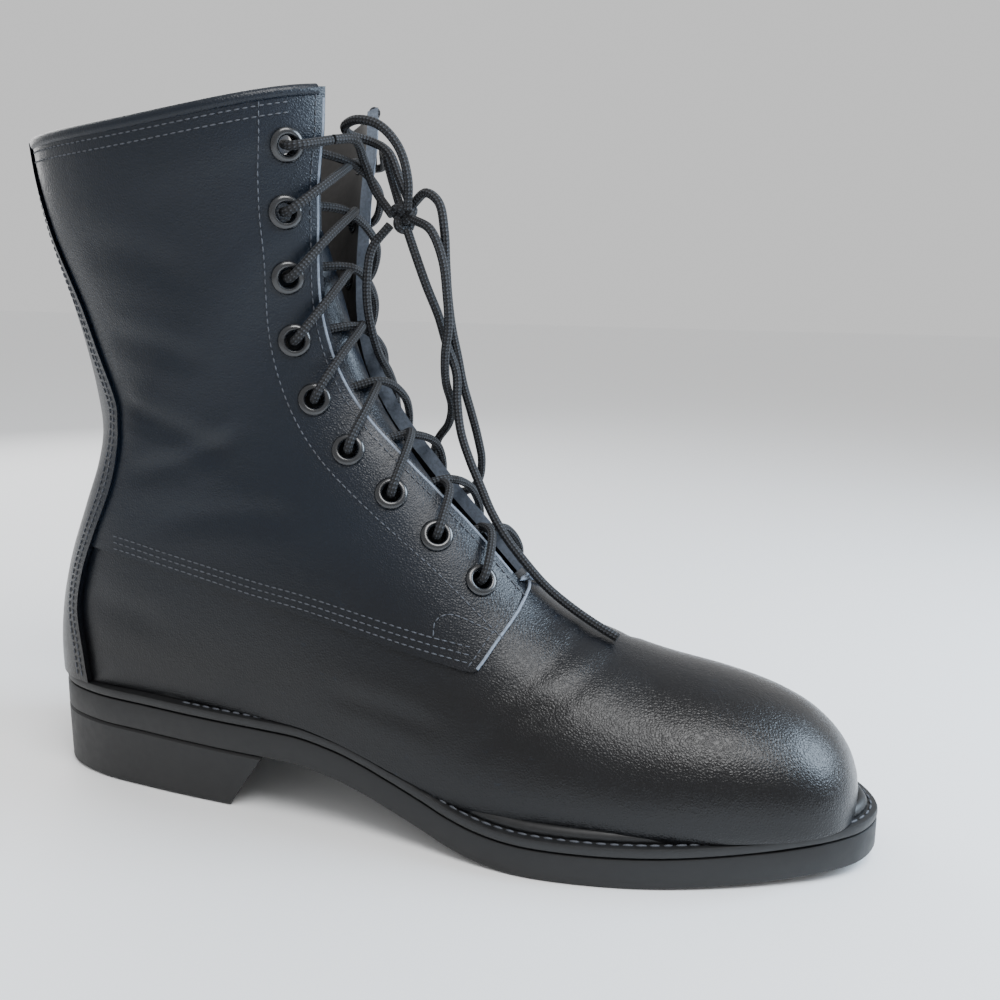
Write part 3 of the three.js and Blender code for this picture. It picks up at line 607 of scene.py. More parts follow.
def folds_at(points: np.ndarray) -> np.ndarray:
    """Sum of all folds and of the leather's slow unevenness at each point."""
    lift = np.zeros(points.shape[:-1])
    for fold in FOLDS:
        lift += fold.depth_at(points)
    x, y, z = points[..., 0], points[..., 1], points[..., 2]
    shaft = smooth((z - 60) / 60)
    lift += shaft * 0.28 * np.sin(x / 13 + 1.3 * np.sin(z / 29)) * np.sin(z / 17 + y / 21)
    return lift * smooth((z - seat(x) - 3) / 10)


LAST = Last()


def skin(
    rings: Sequence[np.ndarray], strips: bool = False, closed: bool = True, ends: bool = True
) -> tuple[np.ndarray, list[list[int]]]:
    """Faces through rings of equal count.

    Args:
        rings: the rings, in order.
        strips: close the ends by strips across the outline, not by one face.
        closed: join each ring's last point to its first.
        ends: close the two ends.

    Returns:
        Points and faces.
    """
    count = len(rings[0])
    points = np.concatenate(rings)
    faces: list[list[int]] = []
    span = count if closed else count - 1
    for r in range(len(rings) - 1):
        for k in range(span):
            a, b = r * count + k, r * count + (k + 1) % count
            faces.append([a, b, b + count, a + count])
    if ends:
        top = (len(rings) - 1) * count
        if strips:
            for start, turned in ((0, True), (top, False)):
                for k in range(count // 2):
                    face = [
                        start + k,
                        start + k + 1,
                        start + count - k - 1,
                        start + (count - k) % count,
                    ]
                    face = list(dict.fromkeys(face))
                    faces.append(face[::-1] if turned else face)
        else:
            faces.append(list(range(count))[::-1])
            faces.append([top + k for k in range(count)])
    return points, faces


def mesh_of(name: str, points: np.ndarray, faces: list[list[int]]) -> bpy.types.Mesh:
    """A mesh of points and faces."""
    mesh = bpy.data.meshes.new(name)
    mesh.from_pydata([tuple(p) for p in points], [], faces)
    mesh.update()
    return mesh


def volume_of(mesh: bpy.types.Mesh) -> float:
    """Signed volume inside a closed mesh."""
    mesh.calc_loop_triangles()
    points = np.empty(len(mesh.vertices) * 3)
    mesh.vertices.foreach_get("co", points)
    points = points.reshape(-1, 3)
    index = np.empty(len(mesh.loop_triangles) * 3, int)
    mesh.loop_triangles.foreach_get("vertices", index)
    a, b, c = points[index.reshape(-1, 3)].transpose(1, 0, 2)
    return float(np.einsum("ij,ij->i", a, np.cross(b, c)).sum() / 6)


class Solid:
    """A closed mesh in millimetres that others can be added to or cut from."""

    def __init__(self, mesh: bpy.types.Mesh, dress: bpy.types.Material | None = None) -> None:
        """Keep the mesh, turn it outwards and dress it if a material is given."""
        self.mesh = mesh
        if volume_of(mesh) < 0:
            mesh.flip_normals()
        if dress is not None:
            mesh.materials.clear()
            mesh.materials.append(dress)

    @classmethod
    def through(
        cls,
        rings: Sequence[np.ndarray],
        dress: bpy.types.Material | None = None,
        strips: bool = False,
    ) -> Solid:
        """A solid through rings."""
        return cls(mesh_of("work", *skin(rings, strips)), dress)

    @classmethod
    def from_side(
        cls, outline: Sequence[tuple[float, float]], dress: bpy.types.Material | None = None
    ) -> Solid:
        """A side outline (x, z) run right through the boot."""
        flat = np.array(outline)
        reach = SIZES.ball_width
        rings = [
            np.stack([flat[:, 0], np.full(len(flat), y), flat[:, 1]], 1) for y in (-reach, reach)
        ]
        return cls.through(rings, dress)

    def _joined(self, other: Solid, how: Join) -> Solid:
        """The result of joining with another solid."""
        base = bpy.data.objects.new("base", self.mesh.copy())
        tool = bpy.data.objects.new("tool", other.mesh)
        for thing in (base, tool):
            bpy.context.scene.collection.objects.link(thing)
        step = base.modifiers.new("join", "BOOLEAN")
        step.operation = how.value
        step.solver = "MANIFOLD"
        step.material_mode = "TRANSFER"
        step.object = tool
        graph = bpy.context.evaluated_depsgraph_get()
        result = bpy.data.meshes.new_from_object(base.evaluated_get(graph))
        if not result.polygons:
            step.solver = "EXACT"
            graph = bpy.context.evaluated_depsgraph_get()
            result = bpy.data.meshes.new_from_object(base.evaluated_get(graph))
            LOG.info("exact join used, %d faces", len(result.polygons))
        for thing in (base, tool):
            bpy.data.objects.remove(thing)
        return Solid(result)

    def cut(self, other: Solid) -> Solid:
        """This solid less the other."""
        return self._joined(other, Join.CUT)

    def keep(self, other: Solid) -> Solid:
        """What both solids share."""
        return self._joined(other, Join.KEEP)


class Outline:
    """The sole's outline in plan."""

    steps = 288
    side_turn = 0.35
    end_turn = 0.8

    def __init__(self) -> None:
        """Work out evenly spaced points, starting at the heel's back."""
        width, length = SIZES.ball_width, SIZES.sole_length
        x = SOLE_SIDES.column("along") * length - SIZES.heel_centre
        right = np.stack([x, -SOLE_SIDES.column("right") * width], 1)
        left = np.stack([x, SOLE_SIDES.column("left") * width], 1)
        ring = np.concatenate(
            [
                [[-SIZES.heel_centre, 0]],
                right,
                [[length - SIZES.heel_centre, SIZES.tip_swing * width]],
                left[::-1],
            ]
        )
        fine = smooth_path(ring, 24, closed=True)
        run = np.concatenate(
            [[0], np.cumsum(np.linalg.norm(np.diff(fine, axis=0, append=fine[:1]), axis=1))]
        )
        goal = run[-1] * np.arange(self.steps) / self.steps
        looped = np.concatenate([fine, fine[:1]])
        self.base = np.stack([np.interp(goal, run, looped[:, k]) for k in range(2)], 1)
        run_on = np.roll(self.base, -1, 0) - np.roll(self.base, 1, 0)
        inwards = np.stack([-run_on[:, 1], run_on[:, 0]], 1)
        self.inwards = inwards / np.linalg.norm(inwards, axis=1, keepdims=True)

    def inset(self, distance: float) -> np.ndarray:
        """The outline drawn in by a distance, its sides' points kept at their own x."""
        nx, ny = self.inwards.T
        turned = smooth((np.abs(nx) - self.side_turn) / (self.end_turn - self.side_turn))
        safe = np.where(turned < 1, ny, 1)
        across = np.where(turned < 1, (1 - turned * nx**2) / safe, ny)
        return self.base + np.stack([turned * nx * distance, across * distance], 1)

    def ring(self, distance: float, height: Callable[[np.ndarray], np.ndarray]) -> np.ndarray:
        """A ring at an inset, with its height over the floor."""
        flat = self.inset(distance)
        return np.column_stack([flat, height(flat[:, 0])])


def smooth_path(points: np.ndarray, each: int, closed: bool = False) -> np.ndarray:
    """A smooth line through points, with even pull at each.

    Args:
        points: the points in order.
        each: steps from one point to the next.
        closed: run on from the last point to the first.

    Returns:
        The line's points.
    """
    pts = np.asarray(points, float)
    count = len(pts)
    spans = count if closed else count - 1
    line = []
    for i in range(spans):
        p1, p2 = pts[i], pts[(i + 1) % count]
        p0 = pts[i - 1] if closed or i > 0 else 2 * p1 - p2
        p3 = pts[(i + 2) % count] if closed or i + 2 < count else 2 * p2 - p1
        d0, d1, d2 = (
            max(float(np.sum((q - p) ** 2)) ** 0.25, 1e-4)
            for p, q in ((p0, p1), (p1, p2), (p2, p3))
        )
        t1 = ((p1 - p0) / d0 - (p2 - p0) / (d0 + d1) + (p2 - p1) / d1) * d1
        t2 = ((p2 - p1) / d1 - (p3 - p1) / (d1 + d2) + (p3 - p2) / d2) * d1
        for k in range(each):
            w = k / each
            line.append(
                p1 + t1 * w + (-3 * p1 + 3 * p2 - 2 * t1 - t2) * w**2
                + (2 * p1 - 2 * p2 + t1 + t2) * w**3
            )
    if not closed:
        line.append(pts[-1])
    return np.array(line)


def evenly(path: np.ndarray, pitch: float) -> np.ndarray:
    """Points of a line spaced evenly, about a pitch apart."""
    run = np.concatenate([[0], np.cumsum(np.linalg.norm(np.diff(path, axis=0), axis=1))])
    count = max(2, round(run[-1] / pitch))
    goal = np.linspace(0, run[-1], count + 1)
    return np.stack([np.interp(goal, run, path[:, k]) for k in range(path.shape[1])], 1)


OUTLINE = Outline()


def slab(
    layers: Sequence[tuple[float, Callable[[np.ndarray], np.ndarray]]],
    dress: bpy.types.Material | None = None,
) -> Solid:
    """A layer of the sole through rings, each an inset and a height."""
    return Solid.through([OUTLINE.ring(inset, height) for inset, height in layers], dress, True)


def lowered(
    height: Callable[[np.ndarray], np.ndarray], drop: float
) -> Callable[[np.ndarray], np.ndarray]:
    """A height function lowered by a distance."""
    return lambda x: height(x) - drop


def welt_foot(x: np.ndarray) -> np.ndarray:
    """Underside of the welt."""
    return seat(x) - SIZES.welt_thickness


def outsole_top(x: np.ndarray) -> np.ndarray:
    """Top of the outsole."""
    return welt_foot(x) - SIZES.clear


def outsole_foot(x: np.ndarray) -> np.ndarray:
    """Underside of the outsole, on the floor under the ball."""
    return np.maximum(0, outsole_top(x) - SIZES.outsole_thickness)


class Forms:
    """Fine forms of the last at any offset, cut flat at the seat."""

    along = 168
    around = 132
    past = 0.04

    def __init__(self) -> None:
        """Work out the surface once, with its normals and folds."""
        self.u = np.concatenate([np.linspace(0, 1, self.along + 1), [1 + self.past]])
        self.a = np.arange(self.around) / self.around
        self.points = LAST.grid(self.u, self.a)
        self.normal = LAST.normals(self.u, self.a)
        self.lift = folds_at(self.points)

    def at(
        self,
        off: float,
        past: bool = False,
        ground: float | None = None,
        dress: bpy.types.Material | None = None,
    ) -> Solid:
        """The last pushed out by off.

        Args:
            off: distance from the last's surface.
            past: run on past the collar.
            ground: height of the flat foot over the seat, its usual one if None.
            dress: material of its faces.

        Returns:
            The closed form.
        """
        if ground is None:
            ground = SIZES.clear + max(0, -off)
        points = self.points + self.normal * (self.lift + off)[..., None]
        rings = list(points if past else points[:-1])
        whole = Solid.through(rings, dress)
        foot = slab(
            [
                (-SIZES.slack, lambda x: np.full(len(x), 2 * SIZES.shaft_height)),
                (-SIZES.slack, lowered(seat, -ground)),
            ],
            dress,
        )
        return whole.keep(foot)


def side_point(along: float, rise: float) -> tuple[float, float]:
    """A place of the side view from shares of the sole's length and the shaft's height."""
    return (
        along * SIZES.sole_length - SIZES.heel_centre,
        SIZES.heel_stack + rise * SIZES.shaft_height,
    )


def side_line(table: Table, each: int = 6) -> np.ndarray:
    """A table of side places as a smooth line."""
    rough = np.array([side_point(row[0], row[1]) for row in table.rows])
    return smooth_path(rough, each)


def throat_cutter(start: float, dress: bpy.types.Material | None = None) -> Solid:
    """A box section along the ridge, from a place on the last up past the collar."""
    rings = []
    for u in np.linspace(start, 1.06, 90):
        half = LAST.throat_half(float(u))
        ridge = LAST.at(float(u), 0.5, 0, False)
        out = LAST.normal_at(float(u), 0.5)
        ring = []
        for y, off in ((-half, -1), (half, -1), (half, 1), (-half, 1)):
            corner = ridge + out * off * SIZES.slack
            ring.append([corner[0], y, corner[2]])
        rings.append(np.array(ring))
    return Solid.through(rings, dress)


def rim_line(drop: float = 0) -> np.ndarray:
    """The collar's rim from back to front in the side view, lowered by a distance."""
    back, front = LAST.at(1, 0, 0, False), LAST.at(1, 0.5, 0, False)
    share = np.linspace(-0.2, 1.2, 60)
    held = np.clip(share, 0, 1)
    dip = SIZES.collar_dip * 4 * held * (1 - held)
    return np.stack(
        [
            back[0] + (front[0] - back[0]) * share,
            back[2] + (front[2] - back[2]) * share - dip - SIZES.edge_round - drop,
        ],
        1,
    )


def over_rim() -> Solid:
    """The space above the collar's rim."""
    far = [(SIZES.sole_length, 2 * SIZES.shaft_height), (-SIZES.sole_length, 2 * SIZES.shaft_height)]
    return Solid.from_side([tuple(p) for p in rim_line()] + far)


class Paint:
    """Node building for one material, with small helpers."""

    def __init__(self, name: str) -> None:
        """Start a material with an empty principled shader."""
        self.material = bpy.data.materials.new(name)
        self.material.use_nodes = True
        self.tree = self.material.node_tree
        self.shader = self.tree.nodes["Principled BSDF"]

    def node(self, kind: str, **values: object) -> bpy.types.Node:
        """Add a node and set its properties."""
        made = self.tree.nodes.new(kind)
        for key, value in values.items():
            setattr(made, key, value)
        return made

    def link(self, out: bpy.types.NodeSocket, into: bpy.types.NodeSocket) -> None:
        """Join two sockets."""
        self.tree.links.new(out, into)

    def place(self) -> bpy.types.NodeSocket:
        """Object coordinates, in metres."""
        return self.node("ShaderNodeTexCoord").outputs["Object"]

    def noise(self, scale: float, detail: float = 4, rough: float = 0.5) -> Wave:
        """A noise of the object's coordinates."""
        made = self.node("ShaderNodeTexNoise")
        made.inputs["Scale"].default_value = scale
        made.inputs["Detail"].default_value = detail
        made.inputs["Roughness"].default_value = rough
        self.link(self.place(), made.inputs["Vector"])
        return Wave(self, made.outputs["Fac"])

    def cells(self, scale: float) -> Wave:
        """Distance to the edges of small cells, for a leather's pebble."""
        made = self.node("ShaderNodeTexVoronoi", feature="DISTANCE_TO_EDGE")
        made.inputs["Scale"].default_value = scale
        self.link(self.place(), made.inputs["Vector"])
        return Wave(self, made.outputs["Distance"])

    def axis(self, index: int) -> Wave:
        """One of the object's coordinates."""
        parts = self.node("ShaderNodeSeparateXYZ")
        self.link(self.place(), parts.inputs[0])
        return Wave(self, parts.outputs[index])

    def blend(self, share: Wave, low: Sequence[float], high: Sequence[float]) -> None:
        """Base colour that runs from low to high with a share."""
        mix = self.node("ShaderNodeMix", data_type="RGBA")
        self.link(share.socket, mix.inputs[0])
        mix.inputs[6].default_value = (*low, 1)
        mix.inputs[7].default_value = (*high, 1)
        self.link(mix.outputs[2], self.shader.inputs["Base Color"])

    def bump(self, height: Wave, strength: float, distance: float) -> None:
        """Bump from a height."""
        made = self.node("ShaderNodeBump")
        made.inputs["Strength"].default_value = strength
        made.inputs["Distance"].default_value = distance
        self.link(height.socket, made.inputs["Height"])
        self.link(made.outputs["Normal"], self.shader.inputs["Normal"])


class Wave:
    """A shader value that sums and scales like a number."""

    def __init__(self, paint: Paint, socket: bpy.types.NodeSocket) -> None:
        """Keep the socket."""
        self.paint, self.socket = paint, socket

    def _math(self, operation: str, other: Wave | float) -> Wave:
        """One step of maths with another value."""
        made = self.paint.node("ShaderNodeMath", operation=operation)
        self.paint.link(self.socket, made.inputs[0])
        if isinstance(other, Wave):
            self.paint.link(other.socket, made.inputs[1])
        else:
            made.inputs[1].default_value = other
        return Wave(self.paint, made.outputs[0])

    def __add__(self, other: Wave | float) -> Wave:
        """Sum."""
        return self._math("ADD", other)

    def __sub__(self, other: Wave | float) -> Wave:
        """Difference."""
        return self._math("SUBTRACT", other)

    def __mul__(self, other: Wave | float) -> Wave:
        """Product."""
        return self._math("MULTIPLY", other)

    def ramp(self, low: float, high: float) -> Wave:
        """Share of the way from low to high, held between 0 and 1."""
        made = self.paint.node("ShaderNodeMapRange")
        self.paint.link(self.socket, made.inputs["Value"])
        made.inputs["From Min"].default_value = low
        made.inputs["From Max"].default_value = high
        return Wave(self.paint, made.outputs["Result"])


@dataclass(frozen=True)
class Leather:
    """Worn black leather, browner low down and slate blue higher up, the blue partly the leather's
    own tone and partly painted reflection of cool sky light, with fine grain and scuffs.
    """

    name: str = "leather"
    dark: tuple[float, float, float] = (0.003, 0.0026, 0.0026)
    slate_and_painted_sky_reflection: tuple[float, float, float] = (0.0028, 0.0062, 0.0125)
    rough: float = 0.34
    grain: float = 0.35

    def build(self) -> bpy.types.Material:
        """Make the material."""
        paint = Paint(self.name)
        worn = paint.noise(35, 6, 0.6)
        scuff = paint.noise(260, 3, 0.7).ramp(0.62, 0.74) * paint.noise(22, 2).ramp(0.5, 0.7)
        # colour runs from brown-black low down to slate blue higher up; the blue is partly the
        # leather's own tone and partly painted reflection of cool sky light
        height = paint.axis(2)
        paint.blend(height.ramp(0.05, 0.1) * 0.8 + worn * 0.25 + scuff * 1.5, self.dark, self.slate_and_painted_sky_reflection)
        toe = paint.axis(0).ramp(0.13, 0.2)
        rough = worn * 0.22 + scuff * 0.2 - toe * 0.07 + (self.rough - 0.1)
        paint.link(rough.socket, paint.shader.inputs["Roughness"])
        grain = paint.cells(1100) * 0.9 + paint.noise(700, 3) * 0.5 + paint.noise(90, 4) * 1.6
        paint.bump(grain, self.grain, 0.0006)
        paint.shader.inputs["Specular IOR Level"].default_value = 0.3
        paint.shader.inputs["Coat Weight"].default_value = 0.1
        paint.shader.inputs["Coat Roughness"].default_value = 0.22
        return paint.material


@dataclass(frozen=True)
class Plain:
    """A finish of one colour with a slight unevenness."""

    name: str
    colour: tuple[float, float, float]
    rough: float = 0.6
    bump: float = 0.15
    scale: float = 400
    specular: float = 0.5

    def build(self) -> bpy.types.Material:
        """Make the material."""
        paint = Paint(self.name)
        wave = paint.noise(self.scale, 4)
        low = tuple(c * 0.8 for c in self.colour)
        high = tuple(c * 1.25 for c in self.colour)
        paint.blend(wave.ramp(0.3, 0.7), low, high)
        paint.link((wave * 0.2 + (self.rough - 0.1)).socket, paint.shader.inputs["Roughness"])
        paint.bump(wave, self.bump, 0.0004)
        paint.shader.inputs["Specular IOR Level"].default_value = self.specular
        return paint.material


@dataclass(frozen=True)
class Braid:
    """Black braided cord with grey flecks, laid out on the cord's UV map in millimetres."""

    name: str = "lace"
    dark: tuple[float, float, float] = (0.004, 0.0045, 0.006)
    fleck: tuple[float, float, float] = (0.07, 0.078, 0.095)

    def build(self) -> bpy.types.Material:
        """Make the material."""
        paint = Paint(self.name)
        coord = paint.node("ShaderNodeTexCoord")
        parts = paint.node("ShaderNodeSeparateXYZ")
        paint.link(coord.outputs["UV"], parts.inputs[0])
        along, around = Wave(paint, parts.outputs[0]), Wave(paint, parts.outputs[1])
        left = (along * 2.6 + around * 4 * math.tau)._math("SINE", 0)
        right = (along * 2.6 - around * 4 * math.tau)._math("SINE", 0)
        weave = left * right
        paint.blend(weave.ramp(0.35, 0.9) * 0.6, self.dark, self.fleck)
        paint.shader.inputs["Roughness"].default_value = 0.75
        paint.bump(weave, 0.7, 0.0003)
        return paint.material


@dataclass(frozen=True)
class Finishes:
    """All finishes of the boot."""

    leather: bpy.types.Material
    lining: bpy.types.Material
    edge: bpy.types.Material
    rubber: bpy.types.Material
    welt: bpy.types.Material
    insole: bpy.types.Material
    lace: bpy.types.Material
    enamel: bpy.types.Material
    thread: bpy.types.Material

    @classmethod
    def build(cls) -> Finishes:
        """Make every material once."""
        return cls(
            leather=Leather().build(),
            lining=Plain("lining", (0.035, 0.033, 0.032), 0.8, 0.2, 600).build(),
            # light grey-blue raw edge: partly the edge's own grey, partly a painted highlight on the
            # rounded edge
            edge=Plain("raw_edge_painted_highlight", (0.16, 0.19, 0.24), 0.6, 0.3, 900).build(),
            rubber=Plain("rubber", (0.003, 0.0032, 0.0038), 0.55, 0.2, 300).build(),
            welt=Plain("welt", (0.004, 0.0043, 0.005), 0.5, 0.35, 260).build(),
            insole=Plain("insole", (0.25, 0.14, 0.065), 0.7, 0.3, 300).build(),
            lace=Braid().build(),
            enamel=Plain("enamel", (0.008, 0.009, 0.011), 0.22, 0.05, 200, 0.7).build(),
            # dark grey-blue thread, lighter than the black thread itself: the lift is painted sheen
            thread=Plain("thread", (0.05, 0.055, 0.067), 0.6, 0.2, 900).build(),
        )


def finish_mesh(
    name: str,
    mesh: bpy.types.Mesh,
    replaces: Sequence[str] = (),
    dress: bpy.types.Material | None = None,
    angle: float = 38,
) -> bpy.types.Object:
    """Scale a mesh to metres, shade it, and put it on the boot.

    Args:
        name: name of the piece.
        mesh: its mesh, in millimetres.
        replaces: solids that it stands for.
        dress: its material, if the mesh has none of its own.
        angle: sharpest smooth edge, in degrees.

    Returns:
        The piece.
    """
    mesh.transform(Matrix.Scale(MILLIMETRE, 4))
    if dress is not None:
        mesh.materials.clear()
        mesh.materials.append(dress)
        mesh.polygons.foreach_set("material_index", [0] * len(mesh.polygons))
    mesh.name = name
    mesh.shade_smooth()
    mesh.set_sharp_from_angle(angle=math.radians(angle))
    piece = bpy.data.objects.new(name, mesh)
    bpy.context.scene.collection.objects.link(piece)
    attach(piece, "root")
    if replaces:
        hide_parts(*replaces)
    LOG.info("%s: %d faces", name, len(mesh.polygons))
    return piece


def tube_mesh(
    paths: Sequence[np.ndarray], radius: float, sides: int = 12, pitch: float = 0.9
) -> bpy.types.Mesh:
    """Round tubes along lines, with a UV map of length and turn.

    Args:
        paths: the lines, in millimetres.
        radius: the tubes' radius.
        sides: faces round each tube.
        pitch: step along it.

    Returns:
        One mesh of all tubes.
    """
    points, faces, uvs, base = [], [], [], 0
    turns = np.arange(sides) * math.tau / sides
    for path in paths:
        line = evenly(path, pitch)
        run = np.gradient(line, axis=0)
        run /= np.linalg.norm(run, axis=1, keepdims=True)
        side = np.cross(run[0], [0.3, 0.2, 1])
        length = 0.0
        for i, (spot, ahead) in enumerate(zip(line, run)):
            side = side - ahead * float(side @ ahead)
            side /= np.linalg.norm(side)
            up = np.cross(ahead, side)
            ring = spot + radius * (
                np.cos(turns)[:, None] * side + np.sin(turns)[:, None] * up
            )
            points.extend(ring)
            if i:
                step = float(np.linalg.norm(spot - line[i - 1]))
                for k in range(sides):
                    n = (k + 1) % sides
                    a, b = base + (i - 1) * sides, base + i * sides
                    faces.append([a + k, a + n, b + n, b + k])
                    u0, u1, v0, v1 = length, length + step, k / sides, (k + 1) / sides
                    uvs.append([(u0, v0), (u0, v1), (u1, v1), (u1, v0)])
                length += step
        last = base + (len(line) - 1) * sides
        faces.append([base + k for k in range(sides)][::-1])
        uvs.append([(0, 0)] * sides)
        faces.append([last + k for k in range(sides)])
        uvs.append([(0, 0)] * sides)
        base += len(line) * sides
    mesh = mesh_of("tube", np.array(points), faces)
    layer = mesh.uv_layers.new(name="along")
    layer.data.foreach_set("uv", [c for face in uvs for pair in face for c in pair])
    if volume_of(mesh) < 0:
        mesh.flip_normals()
    return mesh


@dataclass
class Upper:
    """The leather upper: vamp and shaft, quarters, backstay, tongue and collar binding."""

    finishes: Finishes
    forms: Forms = field(default_factory=Forms)

    def quarter_prism(self, drop: float = 0) -> Solid:
        """The side view's area of the quarters, its lower edge lowered by drop."""
        line = side_line(QUARTER_EDGE)
        top = [side_point(0.7, 1.4), side_point(-0.1, 1.4)]
        return Solid.from_side([(x, z - drop) for x, z in line] + top, self.finishes.leather)

    def stay_prism(self) -> Solid:
        """The side view's area of the backstay."""
        line = side_line(STAY_EDGE)
        top = [side_point(0.027, 1.4), side_point(-0.2, 1.4), side_point(-0.2, -0.2)]
        return Solid.from_side([tuple(p) for p in line] + top + [side_point(0.09, -0.2)])

    def holes(self) -> Solid:
        """Pins through both facings at every eyelet."""
        meshes = []
        for u in LAST.eyelet_places():
            for side in Side:
                a = LAST.past_facing(u, side, SIZES.eyelet_inset)
                spot, out = LAST.at(u, a), LAST.normal_at(u, a)
                meshes.append(np.array([spot - out * 8, spot + out * 8]))
        radius = SIZES.hole_radius + SIZES.barrel_wall + SIZES.clear
        return Solid(tube_mesh(meshes, radius, 20, 40))

    def shells(self) -> None:
        """Build the vamp and shaft, and the quarters over them."""
        dress = self.finishes
        wall = SIZES.wall
        inner = self.forms.at(-wall, True, dress=dress.lining)
        above = over_rim()
        step = slab([(19, lowered(seat, -2 * wall)), (19, lowered(seat, 20))])
        holes = self.holes()
        # the throat's cut faces take the light edge finish, partly painted highlight
        base = self.forms.at(0, dress=dress.leather).cut(throat_cutter(SIZES.throat_end, dress.edge))
        base = base.cut(inner).cut(step).cut(above).cut(holes)
        finish_mesh("vamp_and_shaft", base.mesh, ["upper"])
        over = self.forms.at(SIZES.quarter_step, dress=dress.leather).keep(self.quarter_prism())
        under = self.forms.at(0.02, True, -20)
        # the facings' cut faces take the light edge finish, partly painted highlight
        over = over.cut(throat_cutter(SIZES.facing_end, dress.edge)).cut(under).cut(above)
        over = over.cut(holes)
        finish_mesh("quarters", over.mesh)
        stay = self.forms.at(SIZES.quarter_step + SIZES.stay_thickness, dress=dress.leather)
        stay = stay.keep(self.stay_prism()).cut(self.forms.at(0.2, True, -20)).cut(above)
        finish_mesh("backstay_leather", stay.mesh, ["backstay"])

    def tongue(self) -> None:
        """Build the tongue, which falls back at its top."""
        rings = []
        for s in np.linspace(0, 1, 56):
            u = float(SIZES.tongue_foot + (SIZES.tongue_top - SIZES.tongue_foot) * s)
            girth = float(LAST.ring(u)[1][:, -1].sum())
            held = min(1.0, (1 - s) * SIZES.tongue_taper + SIZES.tongue_tip)
            spread = SIZES.tongue_half * math.sqrt(held) / girth
            fall = SIZES.tongue_fall * float(
                smooth(np.array((u - SIZES.fall_start) / (SIZES.tongue_top - SIZES.fall_start)))
            )
            turns = 0.5 + spread * np.linspace(-1, 1, 33)
            surface = LAST.on_ring(u, turns)
            out = LAST.normals(np.array([u]), turns)[0]
            bulge = 1.6 * np.cos(np.linspace(-1, 1, 33) * math.pi / 2)[:, None]
            wave = 0.3 * math.sin(s * 23) + 0.25 * math.sin(s * 51 + 1)
            top = surface - out * (SIZES.tongue_depth - bulge * (1 + 0.2 * wave))
            low = surface - out * (SIZES.tongue_depth + SIZES.tongue_thickness - bulge)
            ring = np.concatenate([top, low[::-1]]) - np.array([fall, 0, 0])
            rings.append(ring)
        solid = Solid.through(rings, self.finishes.leather)
        solid = solid.keep(self.forms.at(-SIZES.wall - SIZES.clear, True))
        finish_mesh("tongue_leather", solid.mesh, ["tongue"])

    def binding(self) -> None:
        """Build the folded band along the collar's rim."""
        line = rim_line()
        paths = []
        for side in Side:
            path = []
            for x, z in line:
                u, a = LAST.from_side(side, float(x), float(z) - 0.6)
                spot = LAST.at(u, a, SIZES.quarter_step - 0.5 * SIZES.wall)
                half = LAST.throat_half(u)
                if u < 1.04 and (abs(spot[1]) > half or x < 40) and abs(spot[0] - x) < 2:
                    path.append(spot)
            path = np.array(path)
            paths.append(path[np.argsort(path[:, 0])])
        joined = np.concatenate([paths[0][::-1], paths[1]])
        mesh = tube_mesh([smooth_path(evenly(joined, 5), 6)], 2.0, 14, 1.5)
        finish_mesh("collar_binding", mesh, dress=self.finishes.leather)

    def build(self) -> None:
        """Build every piece of the upper."""
        self.shells()
        self.tongue()
        self.binding()


